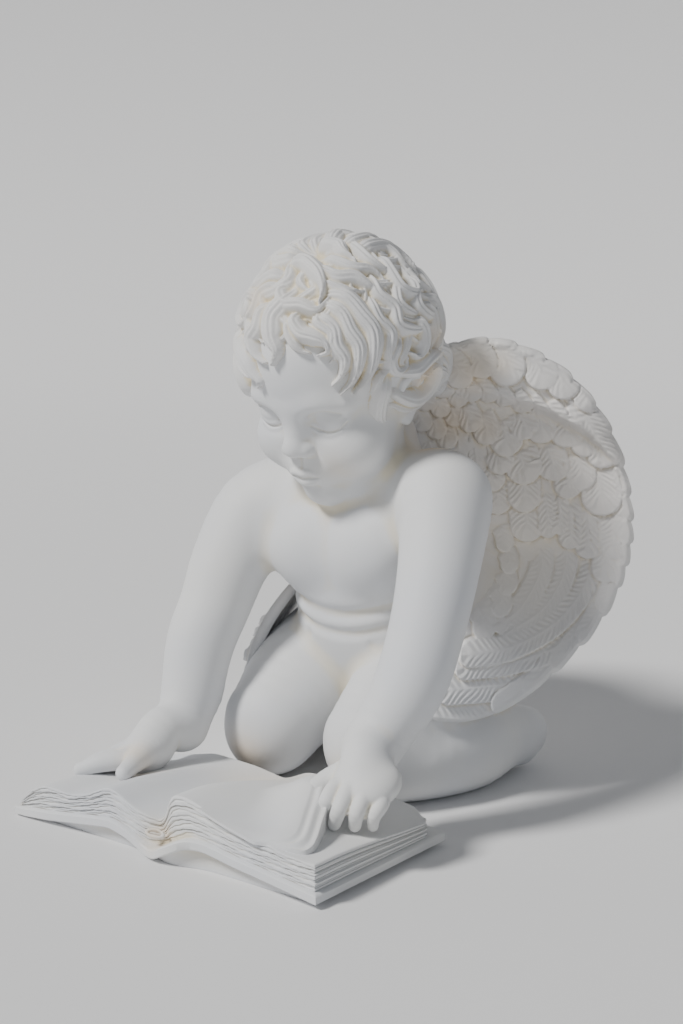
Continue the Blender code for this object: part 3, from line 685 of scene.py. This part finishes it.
def lay_locks(way, level):
    """Lays every lock over the level that is there and keeps the higher one."""
    for path, width, lift, thick, strands, twist in LOCKS:
        line = curve(toward(*np.array(path, dtype=float).T), 6)
        line /= np.linalg.norm(line, axis=1)[:, None]
        middle = line.mean(0)
        middle /= np.linalg.norm(middle)
        reach = np.arccos(np.clip((line @ middle).min(), -1, 1)) + width * 0.85 / HAIR_REACH
        near = np.nonzero(way @ middle > np.cos(reach))[0]
        v = way[near]
        steps = np.linalg.norm(np.diff(line, axis=0), axis=1)
        gap = np.full(len(v), 9.9)
        t = np.zeros(len(v))
        hand = np.zeros(len(v))
        run = 0.0
        for a, b, length in zip(line[:-1], line[1:], steps):
            ahead = (b - a) / length
            along = np.clip((v - a) @ ahead, 0, length)
            off = v - a - along[:, None] * ahead
            far = np.linalg.norm(off, axis=1)
            hit = far < gap
            gap[hit] = far[hit]
            t[hit] = (run + along[hit]) / steps.sum()
            hand[hit] = np.sign(off[hit] @ np.cross(ahead, (a + b) / 2))
            run += length
        half = 0.5 * width * (0.55 + 0.45 * np.sin(np.pi * np.clip(0.12 + 0.8 * t, 0, 1)))
        half *= 1 - 0.66 * easy((t - 0.55) / 0.45)
        x = hand * gap * HAIR_REACH / half
        dome = 1 - np.abs(x) ** 2.1
        strand = np.abs(np.sin(np.pi * (0.5 * strands * x + twist * t + 0.5 * (strands % 2)))) ** 0.8
        height = lift - 6.0 * (1 - easy(t / 0.25)) - 1.3 * easy((t - 0.6) / 0.4) + 1.2 * np.sin(np.pi * t)
        height += thick * dome - 1.25 * (1 - strand) * np.clip(1.25 - np.abs(x), 0, 1) * easy(t / 0.12)
        kept = np.abs(x) < 1.3
        level[near[kept]] = np.maximum(level[near[kept]], height[kept])
    return level


# Under layer: rows of S-shaped locks all round, each row half a lock on from the last. At the
# back and the right side the locks of a row bend the same way, elsewhere by turns.
for row, up in enumerate((84, 70, 57, 45, 33, 21, 9, -3, -15, -26, -36)):
    spread = 1 / np.cos(np.radians(max(min(up, 78), -60)))
    count = int(360 / np.degrees(8.6 * spread / HAIR_REACH))
    for i in range(count):
        around = -180 + (i + 0.5 * (row % 2) + 0.25 * np.sin(3.1 * i + row)) * 360 / count
        if up - 19 < np.interp((around + 180) % 360 - 180, HAIRLINE_AT, HAIRLINE_IS) - 2:
            continue
        hidden = abs(around) > 112 or around < -75
        hand = 1 if (row if hidden else i + row) % 2 else -1
        wide = min(1 / np.cos(np.radians(min(abs(up - 6), 76))), 2.6)
        sway = (6 + 1.5 * np.sin(2.3 * i + 1.7 * row)) * hand * wide
        lock([(around, up + 5), (around + sway, up - 1), (around + 0.25 * sway, up - 8),
              (around - 0.8 * sway, up - 14), (around - 0.2 * sway, up - 19), (around + 0.7 * sway, up - 23)],
             8.4, 0.2 + 0.9 * np.sin(1.9 * i + 2.6 * row), 0.5 * hand, 3.8)

# The fringe, the left side and the crown, lock by lock
lock([(8, 66), (3, 57), (-6, 48), (-3, 38), (2, 31), (-1, 24)], 15, 3.0, 0.3, 4.6, 5)
lock([(-12, 58), (-21, 49), (-20, 41), (-24, 34), (-16, 27), (-8, 24)], 11, 2.6, 0.4, 4.5, 4)
lock([(-46, 34), (-38, 26), (-28, 22), (-20, 17), (-13, 13), (-15, 9)], 10, 3.2, 0.4, 4.8, 4)
lock([(-54, 36), (-46, 26), (-37, 17), (-27, 13), (-20, 14)], 8, 2.8, 0.3, 4.6)
lock([(-30, 60), (-40, 54), (-52, 51), (-59, 44), (-54, 36), (-43, 36), (-38, 42)], 9, 3.4, 0, 5)
lock([(-10, 74), (-30, 70), (-44, 66), (-52, 58), (-64, 52), (-70, 42)], 10, 2.8, 0.5)
lock([(-6, 66), (-24, 63), (-36, 56), (-32, 48), (-38, 41), (-32, 33)], 9, 2.2, 0.5)
lock([(-60, 78), (-20, 80), (14, 80), (34, 75), (42, 68), (42, 60), (36, 53)], 10, 4.4, 0.6, 4.8, 4)
lock([(4, 70), (-7, 62), (4, 55), (20, 54), (33, 50), (48, 56)], 9, 2.6, 0.4)
lock([(20, 54), (14, 47), (19, 40), (27, 37), (34, 33), (34, 28), (28, 27)], 9, 3.0, 0.5)
lock([(10, 50), (9, 43), (13, 36), (18, 31), (23, 29)], 7, 1.6, 0, 4)
lock([(25, 52), (34, 47), (42, 39), (41, 30), (43, 22), (38, 14), (32, 10)], 11, 2.4, 0.6, 4.6, 4)
lock([(28, 57), (40, 53), (50, 45), (51, 35), (53, 26), (49, 17), (43, 9), (35, 4)], 12, 3.0, 0.6, 4.8, 5)
lock([(31, 61), (45, 58), (58, 51), (62, 40), (64, 30), (59, 19), (52, 9), (42, 2)], 13, 3.8, 0.5, 5, 5)
lock([(82, 52), (74, 44), (71, 34), (74, 25), (68, 16), (66, 9), (58, 3)], 11, 2.6, 0.6, 4.8, 4)
lock([(34, 52), (32, 44), (39, 37), (37, 30), (42, 24)], 8, 2.0, 0.3)
lock([(64, 8), (58, 3), (51, -3)], 6, 0.8, 0, 4, 2)
lock([(82, 22), (75, 17), (68, 11), (69, 4), (76, 3), (79, 8)], 9, 3.0)
lock([(66, 6), (59, -4), (55, -13), (54, -23), (58, -32), (65, -38)], 12, 4.6, 0.4, 4.4, 4)
lock([(92, 26), (98, 17), (94, 8), (87, 4), (82, 9)], 10, 4.2, 0.3, 4.6)
lock([(106, 28), (112, 18), (107, 8), (98, 2)], 10, 3.8, 0.3, 4.6)
lock([(118, 28), (124, 17), (119, 6), (109, 0), (101, -4)], 11, 4.0, 0.3, 4.6, 4)
lock([(66, -12), (74, -20), (86, -26), (98, -24), (103, -15), (97, -8), (88, -9)], 11, 6.4, 0.3, 5.6)
lock([(62, -20), (74, -28), (88, -32), (102, -30), (112, -22), (116, -12)], 8, 5.0, 0.3, 5.4)
lock([(72, 0), (82, -3), (93, -2), (104, -4), (111, -12)], 9, 5.4, 0.3, 5)
lock([(96, 64), (90, 54), (83, 45), (86, 35), (82, 26), (92, 18), (104, 14), (113, 8)], 10, 3.0, 0.5)
lock([(108, 52), (102, 43), (92, 35), (97, 26), (106, 21)], 9, 2.2, 0.4)
lock([(134, 54), (121, 55), (108, 48), (102, 39), (109, 32), (120, 33), (126, 40)], 9, 3.6, 0.3, 4.8)
lock([(128, 42), (115, 34), (104, 27), (108, 18), (118, 15), (127, 19)], 9, 3.2, 0.3, 4.8)
lock([(22, 78), (46, 72), (60, 64), (76, 59), (82, 50), (92, 46)], 10, 3.2, 0.5, 4.5, 4)
lock([(60, 84), (78, 73), (84, 64), (96, 57), (97, 47)], 9, 2.6, 0.4)
lock([(40, 66), (52, 60), (62, 54), (74, 51)], 8, 2.4)
lock([(150, 68), (132, 70), (114, 66), (104, 59), (106, 51), (114, 48)], 9, 3.4, 0.3)
lock([(190, 70), (167, 66), (148, 58), (142, 49), (132, 43), (130, 34)], 10, 3.2, 0.5)
lock([(200, 80), (150, 82), (120, 77), (98, 73), (92, 65)], 9, 4.6, 0.8, 4.8, 5)
lock([(120, 18), (111, 9), (117, -1), (120, -10)], 9, 2.6, 0.3)
lock([(102, 15), (92, 9), (96, 0), (106, -3)], 9, 2.0, 0.3)

for path in (((-150, 80), (-132, 74), (-118, 66), (-104, 60), (-88, 56), (-80, 48)),
             ((-100, 84), (-96, 72), (-84, 64), (-70, 62), (-62, 54)),
             ((170, 84), (-176, 72), (-164, 62), (-150, 54), (-142, 44)),
             ((120, 80), (142, 70), (156, 60), (166, 48), (160, 38)),
             ((110, 72), (130, 64), (146, 54), (152, 42), (144, 32)),
             ((150, 84), (176, 74), (188, 62), (184, 50), (176, 40))):
    lock(path, 12, 3.6, 0.6, 5, 5)

# The back and the right side, plainer: rows of broad locks that bend the same way. Each row has
# its first lock, the step and count, the places of its points, width, lift and twist.
for first, step, count, ups, bends, width, lift, twist in (
        (140, 22, 8, (38, 30, 21, 12, 3, -4), (0, 8, 2, -8, -3, 8), 11, (2.2, 2.7), 0.5),
        (130, 22, 8, (8, -1, -11, -20, -30, -38), (0, -8, -2, 8, 3, -8), 11, (1.6, 2.1), 0.5),
        (162, 23, 7, (70, 60, 51, 43, 33), (0, -14, -4, 12, 5), 11, (2.6, 2.6), -0.5),
        (-170, 30, 4, (87, 78, 70, 62, 55), (0, 22, 6, -16, -4), 11, (3.2, 3.2), 0.5),
        (-76, -15, 3, (44, 35, 26, 17, 8, 1), (0, -9, -2, 8, 3, -7), 10, (2.6, 2.6), 0.5)):
    for i in range(count):
        path = [(first + step * i + bend, up) for up, bend in zip(ups, bends)]
        lock(path, width, lift[i % 2], twist, 4.5, 4)
lock([(-60, 40), (-67, 31), (-60, 22), (-56, 12), (-48, 6)], 10, 2.4, 0.4, 4.5, 4)
lock([(-66, 8), (-60, -3), (-55, -12), (-54, -22), (-58, -31), (-65, -37)], 12, 4.4, 0.3, 4.4, 4)
lock([(-66, -12), (-74, -20), (-86, -26), (-98, -24), (-103, -15), (-97, -8), (-88, -9)],
     11, 6.0, 0.3, 5.4)
lock([(-70, 16), (-60, 12), (-51, 5), (-47, -4), (-52, -12), (-60, -16)], 8, 5.6, 0.4, 4.6)
lock([(-62, -20), (-74, -28), (-88, -32), (-102, -30), (-112, -22)], 8, 4.8, 0.3, 5.2)
lock([(-72, 0), (-82, -3), (-93, -2), (-104, -4), (-111, -12)], 9, 5.0, 0.3, 5)

bpy.ops.mesh.primitive_ico_sphere_add(subdivisions=8, radius=1.0)
hair = bpy.context.object
hair.name = "hair"
hair.data.name = "hair"
way = read_points(hair) - CENTRE
way /= np.linalg.norm(way, axis=1)[:, None]
up = np.degrees(np.arcsin(way[:, 2]))
around = np.degrees(np.arctan2(way[:, 0], -way[:, 1]))
level = 1.0 - 10.0 * easy((np.interp(around, HAIRLINE_AT, HAIRLINE_IS) + 3 - up) / 4)
level = np.maximum(lay_locks(way, level), -9) + 2.2 * easy((up - 40) / 30)
write_points(hair, on_head(CROWN + way * (cap_reach(way) + level)[:, None]) * P)
thin_out(hair, 190000)
tint(hair, 10, 0.0007, 1.0, [((53, 54, 229), 9, 0.75), ((0, 40, 250), 90, 0.09),
                             ((-20, 0, 270), 12, 0.3), ((54, 60, 250), 12, 0.3)])
finish(hair)

# Two wings, cast in one with the back: thin cupped shells with a thick rolled leading edge and
# carved feathers in rows. Each is a bent sheet that thickens toward the root. A feather follows a
# line over the sheet (h outward, z up, in parts from the root), and its tip lies over the next.
ROOT = vec(20, 95, 150)
ALONG = vec(0.825, 0.565, 0.0)
FORWARD = vec(0.565, -0.825, 0.0)
RIM_AT = (-90, -84, -72, -58, -48, -38, -22, -8, 5, 25, 47, 70, 80, 95)
RIM_IS = (99, 104, 109.5, 112.5, 113, 116.6, 119.6, 118.6, 115.6, 113.6, 110.6, 103.6, 94.6, 84)
SWEEP_AT = (-90, -84, -72, -58, -38, -20, 95)
SWEEP_IS = (73, 71, 60, 42, 15, 0, 0)
SHELF_AT = (8, 14, 21, 34, 54, 70, 95)
SHELF_FROM = (0.97, 0.93, 0.88, 0.74, 0.57, 0.55, 0.53)
TEETH = np.array((104, 96, 88, 79, 70, 61, 52, 42, 32, 23, 12.7, 4, -3, -9.3, -15.7, -21.8, -30.4,
                  -40, -50, -60, -70))
WING_TOP = 104.0
WING_SPAN = 194.0
RIM_INSET = 0.95
SHELL_THICKNESS = 8.0
BOWL_DEPTH = 9.0
SHELF_HEIGHT = 11.5
BARB_PITCH = 3.3
DITCH_WIDTH = 1.4
FEATHERS = []


def feather(path, width, layer, rise=1.5, barbs=0.2, lean=0.0):
    """A feather that ends in a round tip at the last point of its path; lean lifts one side."""
    line = curve(path, 5)
    ahead = line[-1] - line[-2]
    line[-1] -= 0.5 * width * ahead / np.linalg.norm(ahead)
    kept = np.linalg.norm(line - vec(*path[-1]), axis=1) > 0.5 * width
    kept[-1] = True
    FEATHERS.append((line[kept], width, layer, rise, barbs, lean))


def rim_at(arc):
    return soft_line(arc, RIM_AT, RIM_IS, 6)


# Long quills that sweep down and forward along the bottom
feather([(93, -58), (82, -82), (60, -97), (34, -103), (0, -98)], 17, 0.0, 0.6, 0.45, 0.9)
feather([(101, -48), (90, -68), (70, -83), (46, -87), (8, -85)], 17, 1.0, 0.8, 0.5, 1.0)
feather([(101, -38), (94, -57), (76, -71), (52, -76), (18, -75)], 14, 2.0, 0.8, 0.45, 1.0)
feather([(96, -24), (91, -42), (74, -60), (48, -69), (20, -69)], 14, 2.9, 0.8, 0.4, 1.0)
feather([(80, -14), (79, -36), (66, -54), (44, -63)], 14, 1.5, 0.8, 0.2, 0.8)
feather([(64, -16), (66, -34), (54, -52), (38, -59)], 14, 0.9, 0.8, 0.15, 0.7)
# Rim row, one feather to each tooth of the rim
for tooth in TEETH[1:]:
    arcs = np.radians(tooth + np.array([22, 15, 8, 1.0]))
    reach = rim_at(np.degrees(arcs)) - np.array([7, 6.5, 6, 4])
    feather([*zip(reach * np.cos(arcs), reach * np.sin(arcs))], 13, 1.2, 1.9, 0.12)
# Rows below the leading edge, tips down, from the lowest, and at last the small feathers down the
# inner side: layer, rise and barbs of the row, then each feather's width and line
for layer, rise, barbs, row in (
        (0.7, 2.0, 0.3, ((21, (57, 4), (58, -8), (58, -20)), (16, (38, 16), (41, 6), (41, -4)))),
        (1.2, 2.1, 0.35, (
            (17, (35, 26), (37, 18), (37, 9)), (19, (55, 20), (56, 8), (56, -3)),
            (11, (74, 14), (76, 0), (75, -16)), (11, (66, 14), (69, -2), (70, -18)),
            (14, (80, 8), (82, -8), (82, -24)), (14, (90, 6), (92, -12), (91, -29)),
            (16, (103, 2), (106, -12), (105, -28)), (16, (98, 0), (102, -20), (101, -41)))),
        (1.7, 2.2, 0.35, (
            (16.5, (39, 34), (42, 27), (42, 19)), (21.5, (51, 34), (55, 24), (55, 13)),
            (16.5, (77, 34), (80, 20), (80, 5)), (18.5, (66, 38), (71, 27), (72, 15)),
            (17.5, (84, 34), (87, 22), (87, 10)), (22.5, (93, 26), (98, 12), (99, -4)))),
        (2.1, 2.2, 0.35, (
            (14.5, (20, 58), (25, 50), (26, 42)), (15.5, (29, 54), (34, 45), (34, 35)),
            (19.5, (40, 50), (45, 41), (45, 29)), (16.5, (50, 54), (55, 47), (55, 38)),
            (18.5, (59, 58), (64, 48), (64, 36)), (15.5, (83, 52), (88, 42), (88, 29)),
            (19.5, (72, 56), (78, 46), (79, 34)), (15.5, (91, 44), (97, 35), (98, 23)))),
        (0.8, 1.3, 0.12, (
            (11, (41, -8), (45, -16), (46, -25)), (11, (45, -22), (48, -29), (48, -36)),
            (12, (44, -32), (47, -39), (47, -46)), (13, (38, -38), (43, -46), (43, -55)),
            (14, (28, -46), (34, -54), (34, -65)), (12, (26, 38), (29, 28), (28, 18)),
            (11, (18, 44), (19, 34), (18, 24)), (13, (26, 16), (29, 5), (30, -6))))):
    for width, *path in row:
        feather(path, width, layer, rise, barbs)
for x, y in ((6, 26), (14, 33), (8, 38), (0, 42), (18, 45), (10, 50), (2, 54), (20, 56), (12, 62), (4, 66)):
    feather([(x - 5, y + 13), (x - 2, y + 7), (x, y)], 12, 1.3, 1.5, 0.25)
# The leading edge: small feathers on its underside, big scallops, and a row over its top
for x, y in ((92, 44), (86, 47), (76, 49), (66, 51), (57, 54), (47, 58), (38, 60), (29, 60)):
    feather([(x - 11, y + 13), (x - 5, y + 7), (x, y)], 12, 1.5, 1.7, 0.3)
feather([(81, 62), (92, 46), (104, 25)], 19, 2.4, 2.0, 0.5)
for width, *path in ((18, (78, 78), (88, 69), (93, 56)), (19, (62, 86), (73, 77), (79, 63)),
                     (19, (49, 89), (61, 82), (67, 68)), (21, (31, 92), (42, 86), (48, 70)),
                     (18, (19, 92), (29, 86), (34, 74)), (16, (8, 86), (17, 80), (21, 68))):
    feather(path, width, 2.0, 2.0, 0.16)
for width, *path in ((14, (84, 80), (94, 72), (100, 60)), (14, (70, 88), (81, 83), (89, 73)),
                     (14, (54, 94), (65, 92), (75, 84)), (14, (40, 97), (50, 96), (61, 88)),
                     (13, (28, 98), (38, 98), (47, 92)), (12, (14, 96), (24, 98), (35, 96))):
    feather(path, width, 1.6, 1.8, 0.14)


def plumage(h, z):
    """Height of the feathers over the bare wing, in parts."""
    height = np.interp(z + 0.35 * np.maximum(h - 50, 0), (-30, -10, 5, 25, 45, 60),
                       (0, 0.6, 1.1, 1.6, 2.0, 1.4))
    for line, width, layer, rise, barbs, lean in FEATHERS:
        half = 0.5 * width
        near = np.nonzero((h > line[:, 0].min() - half) & (h < line[:, 0].max() + half)
                          & (z > line[:, 1].min() - half) & (z < line[:, 1].max() + half))[0]
        p = np.stack([h[near], z[near]], -1)
        steps = np.linalg.norm(np.diff(line, axis=0), axis=1)
        gap = np.full(len(p), 99.0)
        s = np.zeros(len(p))
        hand = np.zeros(len(p))
        run = 0.0
        for a, b, length in zip(line[:-1], line[1:], steps):
            along = (p - a) @ (b - a) / length
            off = np.linalg.norm(p - a - np.clip(along, 0, length)[:, None] * (b - a) / length, axis=1)
            hit = off < gap
            gap[hit] = off[hit]
            s[hit] = (run + along)[hit]
            hand[hit] = np.sign((p[hit] - a) @ vec(a[1] - b[1], b[0] - a[0]))
            run += length
        t = s / run
        x = gap / half
        edge = np.clip((1.0 - x) * half / 0.8, 0, 1)
        waver = 1.4 * np.sin(0.31 * p[:, 0] + 0.23 * p[:, 1])
        vane = np.sin(2 * np.pi * (s - 0.9 * gap) / BARB_PITCH + waver) * np.clip(3 * x, 0, 1)
        shape = layer + rise * np.clip(t, 0, 1.2) + 0.5 * (1 - x ** 2) - 2.2 * (1 - easy(t / 0.4))
        shape += 0.35 * np.exp(-(gap / 0.7) ** 2) * (x < 1) * np.clip((1.02 - t) * 8, 0, 1)
        shape += barbs * vane * np.clip((1 - x) * 4, 0, 1) + lean * hand * x
        kept = (x < 1) & (s > -0.5)
        under = np.minimum(height[near], shape)
        risen = under + (shape - under) * edge
        height[near[kept]] = np.maximum(height[near], risen)[kept]
        ditch = (x >= 1) & (x < 1 + DITCH_WIDTH / half) & (t > 0.3) & (height[near] < layer + rise)
        depth = 0.9 * (1 - easy((x - 1) * half / DITCH_WIDTH))
        height[near[ditch]] = np.maximum(height[near] - depth, -0.9)[ditch]
    return height


def wing_point(arc, share, front_side, side):
    last = np.clip(np.searchsorted(-TEETH, -arc), 1, len(TEETH) - 1)
    along = np.clip((TEETH[last - 1] - arc) / (TEETH[last - 1] - TEETH[last]), 0, 1)
    saw = (2.6 * along ** 0.7 * (1 - along ** 9) - 1.4) * easy((arc + 58) / 12)
    saw *= 1 - 0.45 * easy((arc - 50) / 20)
    r = (rim_at(arc) - RIM_INSET) * (0.1 + 0.9 * share) + saw * share ** 8
    h = r * np.cos(np.radians(arc))
    z = r * np.sin(np.radians(arc))
    sweep = soft_line(arc, SWEEP_AT, SWEEP_IS, 6) * (1.0 - (1.0 - share) ** 2)
    bowl = -BOWL_DEPTH * np.sin(np.pi * share ** 1.3) * easy((arc + 60) / 40)
    start = np.interp(arc, SHELF_AT, SHELF_FROM)
    over = (share - start) / (1.001 - start)
    shelf = SHELF_HEIGHT * easy((arc - 6) / 30) * easy(over / 0.34) * (1 - 0.72 * easy((over - 0.4) / 0.6))
    thick = SHELL_THICKNESS * (1.15 - 0.6 * share ** 3)
    back = sweep + bowl - thick - 5.0 * easy((arc - 5) / 30) * share * (1.2 - share)
    fade = easy((1.0 - share) * 34)
    relief = plumage(h, z)
    front = sweep + bowl + shelf + relief * (0.45 + 0.55 * fade)
    back = back - 0.35 * relief * easy((1.0 - share) * 12)
    out = np.where(front_side > 0.5, front, back)
    point = ROOT + h[:, None] * ALONG + out[:, None] * FORWARD + z[:, None] * vec(0, 0, 1)
    point[:, 0] *= side
    return point * P


def lattice(counts, place):
    """The skin of a block of counts cells, each corner put where place says."""
    nodes = np.arange(np.prod([n + 1 for n in counts])).reshape([n + 1 for n in counts])
    quads = []
    for axis in range(3):
        for end in (0, counts[axis]):
            g = nodes.take(end, axis=axis)
            quads.append(np.stack([g[:-1, :-1], g[1:, :-1], g[1:, 1:], g[:-1, 1:]], -1).reshape(-1, 4))
    used, faces = np.unique(np.concatenate(quads), return_inverse=True)
    spot = np.stack(np.unravel_index(used, nodes.shape), -1)
    return place(spot, spot / np.array(counts, dtype=float)), faces.reshape(-1, 4)


for side, name in ((1, "left_wing"), (-1, "right_wing")):
    def place(spot, share, side=side):
        return wing_point(WING_TOP - WING_SPAN * share[:, 0], share[:, 1], share[:, 2], side)

    wing = add_mesh(name, *lattice(((540, 180, 1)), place))
    thin_out(wing, 190000)
    tint(wing, 12, 0.0009, 0.5, [((side * 70, 125, 160), 110, 0.23), ((side * 32, 103, 198), 20, 0.5),
                                  ((side * 46, 104, 228), 22, 0.4), ((side * 60, 108, 232), 14, 0.35),
                                  ((side * 50, 110, 196), 20, 0.5), ((side * 104, 134, 222), 10, 0.3)])
    finish(wing)

# The open book the child leans on: a thick cover with a rounded spine and a sunk underside, and
# two swells of pages whose edges are scored as fine wavy lines, with a small headband over the
# spine. All of it is part of the one casting.
COVER_THICKNESS = 0.0048
COVER_RISE = 0.0164
COVER_AT = (-1, -0.76, -0.53, -0.32, -0.21, -0.13, -0.07, 0.01, 0.09, 0.2, 0.3, 0.49, 0.62, 0.8, 1)
COVER_IS = (0.3, 0.44, 0.65, 0.84, 0.69, 0.5, 0.35, 0.36, 0.62, 0.97, 1.0, 0.81, 0.72, 0.58, 0.42)
PAGE_INSET = 0.0026
LAYERS = 9
# Each ring of the book's sides, from below: how far in, and the level (0 ground, 1 cover's foot,
# 2 cover's top, 3 top of the pages)
RINGS = [(0.006, 0.0), (0.0045, 0.9), (0.0008, 0.97), (0.0, 1.12), (0.0, 1.85), (0.0008, 2.0),
         (PAGE_INSET, 2.01)]
for i in range(LAYERS):
    for share, dip in ((0.12, 0.0009), (0.3, 0.0), (0.75, 0.0), (0.93, 0.0009)):
        RINGS.append((PAGE_INSET + dip + 0.0005 * np.sin(2.3 * i + 0.4), 2.0 + (i + share) / LAYERS))
RINGS[-1] = (PAGE_INSET + 0.0003, 2.995)
RINGS.append((PAGE_INSET + 0.0012, 3.0))


def book_point(spot, share):
    inset = np.array([r[0] for r in RINGS])[spot[:, 2]]
    level = np.array([r[1] for r in RINGS])[spot[:, 2]]
    across = 2.0 * share[:, 0] - 1.0
    x = np.sign(across) * np.abs(across) ** 1.25 * (HALF - inset)
    y = -BOOK_DEPTH + inset + share[:, 1] * (BOOK_DEPTH - 2 * inset)
    top = page_top(x, y)
    cover = COVER_RISE * soft_line(x / HALF, COVER_AT, COVER_IS)
    foot = np.maximum(cover - COVER_THICKNESS, 0.0008)
    z = np.where(level < 1, foot * level, foot + (cover - foot) * np.clip(level - 1, 0, 1))
    stack = np.maximum(top, cover + 0.001) - cover
    pages = (level > 2.02) & (level < 2.97)
    wobble = 0.0003 * np.sin(x * 330 + 3.0 * level * LAYERS) + 0.00012 * np.sin(x * 1100 + 9.0 * level)
    z = np.where(level > 2, cover + stack * (level - 2) + wobble * pages, z)
    bulge = 0.0055 * np.exp(-((x / BOOK_WIDTH - 0.045) / 0.07) ** 2)
    notch = 0.004 * np.exp(-((x / BOOK_WIDTH) / 0.035) ** 2) * (level > 2)
    y = y + np.where(share[:, 1] < 0.5, notch - bulge * (level <= 2.02), 0.0) * (1 - 2 * share[:, 1])
    corner = easy((share[:, 0] - 0.93) / 0.07) * easy((share[:, 1] - 0.88) / 0.12) * (level > 2)
    return np.stack([x - 0.004 * corner, y - 0.005 * corner, z], -1)


counts = ((300, 100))
book = add_mesh("open_book", *lattice((*counts, len(RINGS) - 1), book_point))
tint(book, 8, 0.0006, 0.6, [((0, -104, 12), 8, 0.6), ((-50, -60, 26), 14, 0.3), ((0, -20, 20), 30, 0.25)])
finish(book, 40)

bpy.ops.mesh.primitive_torus_add(major_radius=0.0048, minor_radius=0.0011, major_segments=48,
                                 minor_segments=16)
headband = bpy.context.object
headband.name = "headband"
edit(headband, bpy.ops.transform.resize, value=(1.1, 0.45, 1.0))
edit(headband, bpy.ops.transform.rotate, value=np.radians(-28), orient_axis="X",
     center_override=(0, 0, 0))
edit(headband, bpy.ops.transform.translate, value=Vector(vec(0.0007, -0.1052, 0.0138) - CENTRE))
tint(headband, 3, 0.0006, 0.5, [((0, -104, 12), 8, 0.5)])
finish(headband)

# The loose leaf: a few pages of the right-hand side lifted by the left hand. They rise in a hollow
# sweep to a broad turned edge that runs from the hand down to the front of the book.
EDGE_Y = (-0.105, -0.102, -0.099, -0.094, -0.086, -0.077, -0.066, -0.056, -0.045, -0.03, -0.01)
EDGE_X = (0.062, 0.0695, 0.0762, 0.0795, 0.077, 0.0722, 0.0666, 0.061, 0.056, 0.052, 0.05)
EDGE_LIFT = (0.0, 0.0008, 0.0026, 0.0048, 0.0072, 0.0098, 0.013, 0.0165, 0.015, 0.009, 0.0)
LEAF_FROM = 0.03
TURN_FROM = 0.72
TURN_REACH = 0.0115
TURN_SINK = 0.0035
LEAF_GAP = 0.0004


def leaf_point(spot, share):
    y = -0.105 + 0.095 * share[:, 1]
    edge = soft_line(y, EDGE_Y, EDGE_X, 0.004)
    lift = soft_line(y, EDGE_Y, EDGE_LIFT, 0.003)
    flat = np.clip(share[:, 0] / TURN_FROM, 0, 1)
    turned = np.clip((share[:, 0] - TURN_FROM) / (1 - TURN_FROM), 0, 1)
    x = LEAF_FROM + (edge - LEAF_FROM) * flat
    near = easy((x - edge + 0.034) / 0.034) ** 1.25
    top = page_top(x, y) + LEAF_GAP + lift * near
    x = x + TURN_REACH * turned * easy(lift / 0.004)
    groove = 0.00045 * (1 - np.cos(2 * np.pi * 2 * turned)) * (turned > 0)
    top = top - (TURN_SINK * turned ** 1.4 + groove) * easy(lift / 0.004)
    top = np.maximum(top, page_top(x, y) + LEAF_GAP)
    under = np.minimum(page_top(x, y) - 0.001, top - 0.001)
    return np.stack([x, y, np.where(share[:, 2] > 0.5, top, under)], -1)


leaf = add_mesh("loose_leaf", *lattice(((110, 90, 1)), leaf_point))
tint(leaf, 8, 0.0006, 0.5)
finish(leaf, 50)
